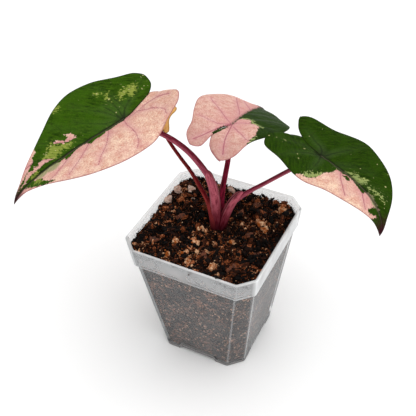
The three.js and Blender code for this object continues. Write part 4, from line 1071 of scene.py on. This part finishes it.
def bent(leaf, x, y):
    """The place in space of flat-leaf points, as the CAD bends its blades"""
    length = leaf["length"]
    x, y = np.asarray(x, float) / length, np.asarray(y, float) / length
    back_arch, back_sweep, back_twist = leaf["back"]

    def bends(x):
        f, b = np.maximum(x, 0), np.minimum(x, 0)
        a1, a2, a3 = leaf["arch"]
        nod = np.radians(a1 * f + a2 * f ** 2 + a3 * f ** 3 + back_arch * b)
        yaw = np.radians(leaf["sweep"][0] * f + leaf["sweep"][1] * f ** 2 + back_sweep * b)
        roll = np.radians(leaf["twist"][0] * f + leaf["twist"][1] * f ** 2 + back_twist * b)
        return nod, yaw, roll

    def heading(x):
        nod, yaw, _ = bends(x)
        return np.stack([np.cos(nod) * np.cos(yaw), np.cos(nod) * np.sin(yaw), -np.sin(nod)], -1)

    grain, back_cells, front_cells = 0.01, 70, 110
    cells = np.arange(-back_cells, front_cells + 1)
    spine = np.zeros((len(cells), 3))
    for i in range(back_cells + 1, len(cells)):
        spine[i] = spine[i - 1] + heading((cells[i] - 0.5) * grain) * grain
    for i in range(back_cells - 1, -1, -1):
        spine[i] = spine[i + 1] - heading((cells[i] + 0.5) * grain) * grain
    point = np.stack([np.interp(x, cells * grain, spine[:, k]) for k in range(3)], -1)
    _, yaw, roll = bends(x)
    along = heading(x)
    across = np.stack([-np.sin(yaw), np.cos(yaw), 0 * yaw], -1)
    up = np.cross(along, across)
    roll = roll[..., None]
    side = across * np.cos(roll) + up * np.sin(roll)
    lift = -across * np.sin(roll) + up * np.cos(roll)
    fold = np.radians(np.where(y >= 0, leaf["fold"][0], leaf["fold"][1]))
    curl = np.radians(np.where(y >= 0, leaf["curl"][0], leaf["curl"][1]))
    out = np.abs(y)
    over = (np.sin(fold) - np.sin(fold - curl * out)) / curl
    rise = (np.cos(fold - curl * out) - np.cos(fold)) / curl
    point = point + side * (np.sign(y) * over)[..., None] + lift * rise[..., None]
    turn_z, turn_y, turn_x = (
        turns([math.radians(leaf[key])], *axes)[0]
        for key, axes in (("heading", (0, 1)), ("pitch", (2, 0)), ("roll", (1, 2))))
    return (point * length) @ (turn_z @ turn_y @ turn_x).T + np.array(leaf["at"])


def edge_curve(points, share):
    """Even curve through outline points, at shares from 0 to 1"""
    points = np.array(points, float)
    spot = np.asarray(share) * (len(points) - 1)
    i = np.minimum(np.floor(spot).astype(int), len(points) - 2)
    part = (spot - i)[..., None]
    p0, p1 = points[np.maximum(i - 1, 0)], points[i]
    p2, p3 = points[i + 1], points[np.minimum(i + 2, len(points) - 1)]
    v0, v1 = (p2 - p0) / 2, (p3 - p1) / 2
    return ((2 * p1 - 2 * p2 + v0 + v1) * part ** 3 + (-3 * p1 + 3 * p2 - 2 * v0 - v1) * part ** 2
            + v0 * part + p1)


def to_line(spots, line):
    """How far each flat spot is from a line"""
    nearest = np.full(len(spots), 1e3)
    for start, end in zip(line[:-1], line[1:]):
        start, span = np.array(start, float), np.subtract(end, start)
        share = np.clip((spots - start) @ span / max(span @ span, 1e-9), 0, 1)
        nearest = np.minimum(nearest, np.linalg.norm(spots - start - share[:, None] * span, axis=1))
    return nearest


def to_patch(spots, corners):
    """How far each flat spot is from a patch's edge, less than zero inside it"""
    ring = list(corners) + [corners[0]]
    x, y = spots.T
    inside = np.zeros(len(spots), bool)
    for (x0, y0), (x1, y1) in zip(ring[:-1], ring[1:]):
        if y0 != y1:
            inside ^= ((y0 > y) != (y1 > y)) & (x < x0 + (y - y0) * (x1 - x0) / (y1 - y0))
    away = to_line(spots, ring)
    return np.where(inside, -away, away)


def nearest_patch(spots, patches):
    """Distance to the nearest of several patches, less than zero inside one"""
    far = np.full(len(spots), far_off)
    for corners in patches:
        far = np.minimum(far, to_patch(spots, corners))
    return far


def rounded_outline(leaf, half):
    """The margin and the sinus edge of one half as fine lines, with the lobe's end rounded"""
    fine = 241
    margin = edge_curve(leaf["margins"][half], np.linspace(0, 1, fine))
    sinus = edge_curve(leaf["sinus"][half], np.linspace(0, 1, fine))
    line = np.concatenate([margin, sinus[-2::-1]])
    way = np.concatenate([[0], np.cumsum(np.linalg.norm(np.diff(line, axis=0), axis=1))])
    even_way = np.arange(0, way[-1], 0.12)
    even = np.column_stack([np.interp(even_way, way, line[:, k]) for k in (0, 1)])
    reach = leaf["lobe_round"] * (1 - ease(np.abs(way - way[fine - 1]), 2, 8)) + 0.01
    weight = np.exp(-((way[:, None] - even_way[None]) / reach[:, None]) ** 2)
    soft = weight @ even / np.maximum(weight.sum(1), 1e-9)[:, None]
    line = np.where((reach > 0.3)[:, None], soft, line)
    return line[:fine], line[fine - 1:][::-1]


def along(line, share):
    """The point of a fine line at a share from 0 to 1"""
    spot = np.asarray(share) * (len(line) - 1)
    return np.stack([np.interp(spot, np.arange(len(line)), line[:, k]) for k in (0, 1)], -1)


def blade_piece(name, leaf, fine_rows, columns):
    """A blade of the CAD's own form in a fine mesh, with its veins raised and its marks stored"""
    coarse_front, coarse_lobe = leaf["rows"]
    front, lobe = fine_rows
    rows = front + lobe
    widest = 7 / (len(leaf["margins"][0]) - 1)
    margins, sinuses = zip(*(rounded_outline(leaf, half) for half in (0, 1)))
    # The flat leaf, row by row from its tip to its lobes; both halves share the points of the rib
    flat, halves, wave, ribbed = [], [], [], []
    ids, grid = {}, np.zeros((2, rows + 1, columns + 1), int)
    share_of_columns = np.linspace(0, 1, columns + 1) ** 0.92
    for half in (0, 1):
        for row in range(rows + 1):
            ahead = row <= front
            share = row / front if ahead else (row - front) / lobe
            outer = along(margins[half], widest * share if ahead
                          else widest + (1 - widest) * share)
            root = (np.array([leaf["length"] * (1 - share), 0]) if ahead
                    else along(sinuses[half], share))
            coarse = coarse_front * share if ahead else coarse_front + coarse_lobe * share
            fade = min(1, coarse / 5)
            for column in range(columns + 1):
                key = (half, row, column)
                if row == 0:
                    key = "tip"
                elif ahead and column == 0:
                    key = ("rib", row)
                elif row == rows:
                    key = ("end", half)
                if key not in ids:
                    ids[key] = len(flat)
                    spread = share_of_columns[column]
                    flat.append(root + (outer - root) * spread)
                    halves.append(half)
                    rolling = 0.35 * spread ** 2 * math.sin(coarse * 0.9 + half * 2) * fade
                    if half == leaf["tucked_lobe"] and not ahead:
                        rolling -= 0.7 * min(1, 6 * share) * max(0, 1 - spread / 0.15)
                    wave.append(rolling)
                    ribbed.append(fade if ahead else (1 - share) ** 2)
                grid[half, row, column] = ids[key]
    flat, halves, wave, ribbed = map(np.array, (flat, halves, wave, ribbed))
    # Bent into place, with the way that its upper side faces
    x, y = flat.T
    here = bent(leaf, x, y)
    onward = bent(leaf, np.minimum(x + 0.4, leaf["length"] * 1.05), y) - here
    normal = np.zeros_like(here)
    shared = np.zeros(len(flat), bool)
    shared[grid[0, :front + 1, 0]] = True
    shared[ids["tip"]] = True
    for half in (0, 1):
        inward = 0.4 if half == 0 else -0.4
        across = (bent(leaf, x, y + inward) - here) * np.sign(inward)
        part = np.cross(onward, across)
        part /= np.linalg.norm(part, axis=1)[:, None]
        normal += part * ((halves == half) | shared)[:, None]
    normal /= np.linalg.norm(normal, axis=1)[:, None]

    # Distance to the rim, to the nearest vein and to the rib, and the relief that they give
    rim = np.full(len(flat), far_off)
    for half in (0, 1):
        edge = np.minimum(to_line(flat, margins[half][::3]), to_line(flat, sinuses[half][::6]))
        rim = np.where((halves == half) | shared, np.minimum(rim, edge), rim)
    vein = np.full(len(flat), far_off)
    for line in leaf["veins"]:
        vein = np.minimum(vein, to_line(flat, line))
    rib = np.hypot(np.where(x > 0, 0, x), y)
    thick = blade_thickness / 2 * (0.4 + 0.6 * ease(rim, 0, 1.4))
    to_keel = np.hypot(np.where(x > 0, 0, x / 2), y)
    keel = rib_height * ribbed * np.exp(-(to_keel / rib_width) ** 2)
    dip = -0.16 * np.exp(-(vein / 0.9) ** 2) - 0.35 * np.exp(-(rib / 0.8) ** 2) * ribbed
    quilt = 0.26 * ease(vein, 0.4, 4.5) + 0.06 * uneven(x, y, 1.3, 17)
    settle = ease(rim, 0, 3)
    middle = here + normal * wave[:, None]
    upper = middle + normal * (thick + (dip + quilt) * settle)[:, None]
    vein_keel = 0.3 * np.exp(-(vein / 0.6) ** 2)
    lower = middle - normal * (thick + keel + (vein_keel - quilt) * settle)[:, None]
    # Faces of the upper and the lower side, and round the edge between them
    count = len(flat)
    faces = []
    for half in (0, 1):
        for row in range(rows):
            for column in range(columns):
                loop = [grid[half, row, column], grid[half, row, column + 1],
                        grid[half, row + 1, column + 1], grid[half, row + 1, column]]
                loop = list(dict.fromkeys(loop))
                if len(loop) < 3:
                    continue
                faces.append(tuple(loop))
                faces.append(tuple(i + count for i in loop[::-1]))
    edge = [grid[0, row, columns] for row in range(rows + 1)]
    edge += [grid[0, row, 0] for row in range(rows - 1, front, -1)]
    edge += [grid[0, front, 0]]
    edge += [grid[1, row, 0] for row in range(front + 1, rows + 1)]
    edge += [grid[1, row, columns] for row in range(rows - 1, 0, -1)]
    for a, b in zip(edge, edge[1:] + edge[:1]):
        faces.append((b, a, a + count, b + count))
    piece = mesh_piece(name, np.concatenate([upper, lower]), faces)

    # Distances to the pink, lime and sage patches and to the flecks; the base of a lobe that lies
    # under the other has one tissue
    pink = np.maximum(nearest_patch(flat, leaf["pink"]), -nearest_patch(flat, leaf["green"]))
    if leaf["lower_lobe"] is not None:
        own = -3.0 if leaf["lower_lobe"] == 0 else 3.0
        lobe = (halves == leaf["lower_lobe"]) & (x < -0.5) & (np.abs(y) < 5)
        pink = np.where(lobe, own, pink)
    spots = np.array(leaf["flecks"] or [(99.0, 99.0)])
    sizes = np.random.default_rng(5).uniform(0.04, 0.3, len(spots))
    fleck = (np.linalg.norm(flat[:, None] - spots[None], axis=2) - sizes[None]).min(1)
    # The lanes run along the side veins, squeezed to a quarter of their length
    lanes = np.column_stack([(0.75 * x + 0.66 * np.abs(y)) * 0.25,
                             -0.66 * x + 0.75 * np.abs(y), 9.0 * halves])
    marks = {
        "pink": pink, "lime": nearest_patch(flat, leaf["lime"]),
        "sage": nearest_patch(flat, leaf["sage"]), "vein": vein, "rib": rib, "rim": rim,
        "fleck": fleck, "to_tip": np.hypot(x - leaf["length"], y), "joint": np.hypot(x, y),
        "flat": np.column_stack([flat, np.zeros(count)]), "lanes": lanes,
    }
    for mark_name in ("dark_rib", "deep", "blush"):
        marks[mark_name] = np.full(count, leaf[mark_name])
    for mark_name, values in marks.items():
        mark(piece, mark_name, np.concatenate([values, values]))
    mark(piece, "under", np.repeat((0, 1), count))
    return piece


# Alocasia blade: living leaf with a satin cuticle. Sectors without chlorophyll show pink, cream
# between a fine rosy net; green tissue is streaked and mottled, lime or sage where only some of
# its cell layers are green. Patterns are laid on the flat leaf in millimetres: the net has meshes
# of 1.2 mm, the mottle and the specks of the pink are under 1 mm, and the streaks run along the
# side veins, 1 mm wide and 4 mm long
variegated_leaf, tree = new_material("variegated_leaf")
flat = add(tree, "Attribute", attribute_name="flat").outputs["Vector"]
lanes = add(tree, "Attribute", attribute_name="lanes").outputs["Vector"]
reads = {}
for mark_name in ("pink", "lime", "sage", "vein", "rib", "rim", "fleck", "dark_rib", "to_tip",
                  "under", "deep", "blush", "joint"):
    reads[mark_name] = add(tree, "Attribute", attribute_name=mark_name).outputs["Fac"]
ragged = add(tree, "TexNoise", {"Vector": flat, "Scale": 0.7, "Detail": 2, "Roughness": 0.6})
splinter = add(tree, "TexNoise", {"Vector": lanes, "Scale": 2.2, "Detail": 3, "Roughness": 0.7})
mottle = add(tree, "TexNoise", {"Vector": flat, "Scale": 1.3, "Detail": 4, "Roughness": 0.65})
broad = add(tree, "TexNoise", {"Vector": flat, "Scale": 0.11, "Detail": 3})
streaks = add(tree, "TexNoise", {"Vector": lanes, "Scale": 0.9, "Detail": 4, "Roughness": 0.6})
speckle = add(tree, "TexNoise", {"Vector": flat, "Scale": 1.5, "Detail": 2, "Roughness": 0.7})
blotches = add(tree, "TexNoise", {"Vector": flat, "Scale": 0.3, "Detail": 3, "Roughness": 0.6})
net = add(tree, "TexVoronoi", {"Vector": flat, "Scale": 0.85}, feature="DISTANCE_TO_EDGE")
grains = add(tree, "TexVoronoi", {"Vector": lanes, "Scale": 0.75}).outputs["Distance"]
# Ragged edges of the patches, and the nearness of pale tissue
torn_most = add(tree, "Math", {0: ragged, 1: 2.2, 2: -1.1}, operation="MULTIPLY_ADD")
torn = add(tree, "Math", {0: splinter, 1: 2.6, 2: torn_most}, operation="MULTIPLY_ADD")
torn = add(tree, "Math", {0: torn, 1: -1.3}, operation="ADD")
pink_edge = add(tree, "Math", {0: reads["pink"], 1: torn}, operation="ADD")
sage_edge = add(tree, "Math", {0: reads["sage"], 1: torn}, operation="ADD")
lime_edge = add(tree, "Math", {0: torn, 1: 3.0, 2: reads["lime"]}, operation="MULTIPLY_ADD")
fleck_edge = add(tree, "Math", {0: torn, 1: 0.3, 2: reads["fleck"]}, operation="MULTIPLY_ADD")
pale_near = add(tree, "Math", {0: reads["lime"], 1: reads["pink"]}, operation="MINIMUM")
specks = add(tree, "Math", {0: blotches, 1: 0.8, 2: speckle}, operation="MULTIPLY_ADD")
# How far each feature reaches, mostly in millimetres, and how strong it is at both ends
shares = {}
for part, source, start, end, at_start, at_end in (
    ("pink", pink_edge, -0.08, 0.08, 1, 0), ("lime", lime_edge, -0.3, 0.3, 0.9, 0),
    ("sage", sage_edge, -0.5, 0.4, 0.95, 0), ("fleck", fleck_edge, -0.05, 0.12, 0.85, 0),
    ("grain", grains, 0.08, 0.16, 0.8, 0), ("grain_near", pale_near, 0.5, 4, 1, 0),
    ("streak", streaks, 0.35, 0.68, 0, 1), ("green_patch", broad, 0.42, 0.6, 0, 0.75),
    ("green_fine", mottle, 0.5, 0.75, 0, 0.35), ("speckled", specks, 0.72, 1.1, 0, 1),
    ("rosy", broad, 0.45, 0.62, 0, 0.3), ("net_line", net, 0.02, 0.2, 1, 0),
    ("vein_line", reads["vein"], 0.12, 0.4, 1, 0), ("vein_core", reads["vein"], 0.1, 0.6, 0.6, 0),
    ("vein_glow", reads["vein"], 0.2, 3.0, 0.3, 0), ("vein_grey", reads["vein"], 0.8, 3.2, 0.14, 0),
    # joint: painted shade, darkening the green round the joint of blade and stalk
    ("joint", reads["joint"], 0.5, 5, 0.7, 0), ("joint_near", reads["joint"], 3, 17, 1, 0.22),
    ("inner", reads["rib"], 1, 11, 0.7, 0), ("rib_line", reads["rib"], 0.35, 1.2, 1, 0),
    ("rib_centre", reads["rib"], 0.05, 0.4, 0.8, 0), ("rim_line", reads["rim"], 0.1, 0.5, 0.7, 0),
    ("tip", reads["to_tip"], 3, 11, 1, 0), ("lobe_shade", reads["to_tip"], 71, 88, 0, 0.65),
    ("sheen", mottle, 0, 1, 0.4, 0.55),
):
    shares[part] = add(tree, "MapRange", {"Value": source, "From Min": start, "From Max": end,
                                          "To Min": at_start, "To Max": at_end})
# deep is painted shade, set leaf by leaf: it darkens the green, and pale, made from it, turns the lime
# paler
for part, first, second in (
    ("deep", reads["deep"], 0.55), ("pale", reads["deep"], 0.5), ("under", reads["under"], 0.3),
    ("grey", shares["vein_grey"], shares["joint_near"]),
    ("vein_dark", shares["vein_core"], shares["joint_near"]), ("net", shares["net_line"], 0.2),
    ("lobe", shares["lobe_shade"], reads["blush"]), ("vein", shares["vein_line"], 0.72),
    ("rib", shares["rib_line"], reads["dark_rib"]),
):
    shares[part] = add(tree, "Math", {0: first, 1: second}, operation="MULTIPLY")
# Cream flecks: those that the leaf shows singly, and a dust of them near pale tissue
grain_part = add(tree, "Math", {0: shares["grain"], 1: shares["grain_near"]}, operation="MULTIPLY")
dusty = add(tree, "Math", {0: broad, 1: 0.5}, operation="GREATER_THAN")
dust = add(tree, "Math", {0: grain_part, 1: dusty}, operation="MULTIPLY")
all_flecks = add(tree, "Math", {0: shares["fleck"], 1: dust}, operation="MAXIMUM")
not_pink = add(tree, "Math", {0: 1.0, 1: shares["pink"]}, operation="SUBTRACT")
green_flecks = add(tree, "Math", {0: all_flecks, 1: not_pink}, operation="MULTIPLY")
tip_ragged = add(tree, "Math", {0: torn, 1: 0.25, 2: shares["tip"]}, operation="MULTIPLY_ADD",
                 use_clamp=True)
# Each tissue is a ground colour and what lies over it, a share and a colour at a time
cream = add(tree, "Mix", {"Factor": reads["blush"], "A": "#ffe6c9", "B": "#eac8b9"},
            data_type="RGBA")
speck_tint = add(tree, "Mix", {"Factor": shares["speckled"], "A": "#d6acaa", "B": "#ffffff"},
                 data_type="RGBA")
speckled_cream = add(tree, "Mix", {"Factor": 1.0, "A": cream, "B": speck_tint}, data_type="RGBA",
                     blend_type="MULTIPLY")
tissues = {}
for tissue, ground, layers in (
    ("green", "#1a3504", (
        (shares["streak"], "#3f6110"), (shares["green_patch"], "#36590c"),
        (shares["green_fine"], "#5a7c1e"), (shares["deep"], "#0b1a02"),
        (shares["grey"], "#6a7e54"), (shares["vein_dark"], "#182014"),
        (shares["joint"], "#22271c"))),
    ("pink", speckled_cream, (
        (shares["inner"], "#d0938f"), (shares["rosy"], "#d9a09c"), (shares["net"], "#c07c7c"),
        (shares["lobe"], "#b0827c"), (shares["vein_glow"], "#cd8a98"),
        (shares["vein"], "#9c4a60"))),
    ("lime", "#6d8428", ((shares["streak"], "#a3a84c"), (shares["pale"], "#a9b683"))),
    ("sage", "#8d8f62", ((shares["streak"], "#b3a884"),)),
    ("rib", "#1c2214", ((shares["rib_centre"], "#5e5a48"),)),
    ("margin", "#1f2c12", ((shares["pink"], "#a8626a"),)),
):
    tissues[tissue] = ground
    for share, shade in layers:
        tissues[tissue] = add(tree, "Mix", {"Factor": share, "A": tissues[tissue], "B": shade},
                              data_type="RGBA")
finished = tissues["green"]
for share, shade in (
    (shares["lime"], tissues["lime"]), (shares["pink"], tissues["pink"]),
    (shares["sage"], tissues["sage"]), (green_flecks, "#c3bd84"), (shares["rib"], tissues["rib"]),
    (shares["rim_line"], tissues["margin"]), (tip_ragged, "#35121a"), (shares["under"], "#a89a8c"),
):
    finished = add(tree, "Mix", {"Factor": share, "A": finished, "B": shade}, data_type="RGBA")
fine = add(tree, "TexNoise", {"Vector": flat, "Scale": 5, "Detail": 3})
relief = add(tree, "Math", {0: shares["net_line"], 1: -0.5, 2: fine}, operation="MULTIPLY_ADD")
lane_relief = add(tree, "Math", {0: streaks, 1: 1.5, 2: relief}, operation="MULTIPLY_ADD")
rise = add(tree, "Bump", {"Height": lane_relief, "Strength": 0.5, "Distance": 0.0003})
shader = add(tree, "BsdfPrincipled", {"Base Color": finished, "Roughness": shares["sheen"], "IOR": 1.45,
                                      "Specular IOR Level": 0.015, "Normal": rise})
add(tree, "OutputMaterial", {"Surface": shader})

for name, leaf in leaves.items():
    blade = blade_piece(f"{name}_blade", leaf, (130, 50), 50)
    blade.data.materials.append(variegated_leaf)
    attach(blade, "root")
    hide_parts(f"blade_{name}")


# ---- Old leaf -----------------------------------------------------------------------------
# A small spent leaf behind the left one, gone yellow and limp, curled at its edges and browning
# towards its tip, still on its thin faded stalk.
leaves["old"] = {
    "rows": (9, 5), "at": (-31.4, 9, 116.5), "length": 20, "heading": 124, "pitch": -14, "roll": -6,
    "fold": (8, 8), "curl": (30, 50), "arch": (6, 4, 8), "sweep": (-4, 0), "twist": (4, 0),
    "back": (10, 0, 0), "dark_rib": 0.2, "deep": 0, "blush": 0, "lower_lobe": None,
    "tucked_lobe": None, "lobe_round": 0.3, "pink": [], "green": [], "lime": [], "sage": [],
    "flecks": [],
    "margins": [
        [(19, 0), (18, 1.2), (16, 3), (13.4, 5), (10.4, 6.6), (7.2, 7.2), (4, 6.8), (0, 5.2),
         (-1.6, 4.2), (-2.7, 3), (-3.2, 1.8)],
        [(19, 0), (18.8, -2.6), (17.4, -5.8), (14.8, -7.8), (11.6, -7), (8.6, -5), (5.4, -3.6),
         (0.6, -3.2), (-1.2, -2.8), (-2.3, -2.2), (-2.8, -1.4)],
    ],
    "sinus": [
        [(0, 0), (-0.6, 0.3), (-1.2, 0.4), (-1.9, 0.6), (-2.8, 0.9), (-3.2, 1.8)],
        [(0, 0), (-0.5, -0.3), (-1, -0.4), (-1.7, -0.5), (-2.4, -0.8), (-2.8, -1.4)],
    ],
    "veins": [
        [(0, 0), (2, 2.4), (5, 5)], [(4, 0), (8, 2.6), (11, 5)], [(8, 0), (12, 2), (15, 3)],
        [(3, 0), (7, -1.6), (11, -4.6)], [(8, 0), (12, -2), (16, -5)],
    ],
}
# Spent leaf tissue: yellow, papery, blotched every 3 mm, drying brown along the margin
spent_leaf, tree = new_material("spent_yellow_leaf")
flat = add(tree, "Attribute", attribute_name="flat").outputs["Vector"]
vein = add(tree, "Attribute", attribute_name="vein").outputs["Fac"]
rim = add(tree, "Attribute", attribute_name="rim").outputs["Fac"]
blotches = add(tree, "TexNoise", {"Vector": flat, "Scale": 0.35, "Detail": 5})
dried = "#dfab52"
for source, start, end, at_start, at_end, shade in (
    (blotches, 0.4, 0.65, 0, 1, "#cf934c"), (vein, 0.1, 0.5, 0.5, 0, "#a8772e"),
    (rim, 0.1, 0.8, 0.8, 0, "#9a6a24"),
):
    share = add(tree, "MapRange", {"Value": source, "From Min": start, "From Max": end,
                                   "To Min": at_start, "To Max": at_end})
    dried = add(tree, "Mix", {"Factor": share, "A": dried, "B": shade}, data_type="RGBA")
wrinkle = add(tree, "TexNoise", {"Vector": flat, "Scale": 2.5, "Detail": 4})
rise = add(tree, "Bump", {"Height": wrinkle, "Strength": 0.5, "Distance": 0.0003})
shader = add(tree, "BsdfPrincipled", {"Base Color": dried, "Roughness": 0.6, "Normal": rise})
add(tree, "OutputMaterial", {"Surface": shader})
old_blade = blade_piece("spent_blade", leaves["old"], (50, 14), 20)
old_blade.data.materials.append(spent_leaf)
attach(old_blade, "root")
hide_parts("blade_old")


# ---- Stalk and sheath pieces --------------------------------------------------------------
# Each stalk ends in a shallow seat under its blade's rib. The sheaths stand round the crown as
# one piece, and the stalks rise out of it.
seat_radius, seat_depth = 15, 0.45
stalk_skins = {"left": mauve_petiole, "middle": wine_petiole, "right": mauve_petiole,
               "old": old_petiole}
for name, stations in stalk_stations.items():
    leaf = leaves[name]
    points, faces, marks = swept(stations, 140, 32)
    joint = bent(leaf, [0.0], [0.0])[0]
    onward = bent(leaf, [1.0], [0.0])[0] - joint
    across = bent(leaf, [0.0], [1.0])[0] - bent(leaf, [0.0], [-1.0])[0]
    normal = np.cross(onward, across)
    normal /= np.linalg.norm(normal)
    centre = joint + normal * (seat_radius - seat_depth)
    reach = points - centre
    away = np.linalg.norm(reach, axis=1)
    inside = away < seat_radius
    points[inside] = centre + reach[inside] / away[inside][:, None] * seat_radius
    stalk = mesh_piece(f"{name}_stalk", points, faces)
    for mark_name, values in marks.items():
        mark(stalk, mark_name, values)
    stalk.data.materials.append(stalk_skins[name])
    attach(stalk, "root")
    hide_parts(f"petiole_{name}")

sheath_points, sheath_faces, sheath_marks = [], [], []
for name, seams, tuck in (("left", (-12, -160), -20), ("right", (-148,), 178)):
    points, faces, marks = swept(sheath_stations[name], 120, 64, seams, 0.13, tuck)
    start = sum(len(part) for part in sheath_points)
    sheath_points.append(points)
    sheath_faces += [tuple(i + start for i in face) for face in faces]
    sheath_marks.append(marks)
sheaths = mesh_piece("leaf_sheaths", np.concatenate(sheath_points), sheath_faces)
for mark_name in ("lip", "painted_tuck_shade", "topside", "groove_painted_dark", "stripe", "height"):
    mark(sheaths, mark_name, np.concatenate([marks[mark_name] for marks in sheath_marks]))
sheaths.data.materials.append(mauve_sheath)
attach(sheaths, "root")
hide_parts("crown")


# ---- Floor and light ----------------------------------------------------------------------
# A plain white table under soft studio light: a bright even surround, a broad soft lamp overhead
# and a weak one on the right.
floor_half, floor_level = 3.0, -0.0002
corners = [(x * floor_half, y * floor_half, floor_level)
           for x, y in ((-1, -1), (1, -1), (1, 1), (-1, 1))]
floor_mesh = bpy.data.meshes.new("floor")
floor_mesh.from_pydata(corners, [], [(0, 1, 2, 3)])
floor = bpy.data.objects.new("floor", floor_mesh)
bpy.context.scene.collection.objects.link(floor)
# White painted board, matt
white_board, tree = new_material("white_board")
place = add(tree, "TexCoord").outputs["Object"]
faint = add(tree, "TexNoise", {"Vector": place, "Scale": 4, "Detail": 2})
white = add(tree, "Mix", {"Factor": faint, "A": "#fafafa", "B": "#fcfcfc"}, data_type="RGBA")
shader = add(tree, "BsdfPrincipled", {"Base Color": white, "Roughness": 0.9,
                                      "Specular IOR Level": 0.1})
add(tree, "OutputMaterial", {"Surface": shader})
floor_mesh.materials.append(white_board)

world = bpy.data.worlds.new("studio")
world.use_nodes = True
surround = world.node_tree.nodes["Background"]
surround.inputs["Color"].default_value = (1, 1, 1, 1)
surround.inputs["Strength"].default_value = 0.8
bpy.context.scene.world = world
for name, towards, spread, power in (("soft_top", (0.16, 0.12, 1), 60, 1.05),
                                     ("soft_right", (0.9, -0.5, 0.9), 60, 0.35)):
    lamp_data = bpy.data.lights.new(name, "SUN")
    lamp_data.angle = math.radians(spread)
    lamp_data.energy = power
    lamp = bpy.data.objects.new(name, lamp_data)
    lamp.rotation_euler = Vector(towards).to_track_quat("Z", "Y").to_euler()
    bpy.context.scene.collection.objects.link(lamp)
bpy.context.scene.view_settings.view_transform = "Standard"
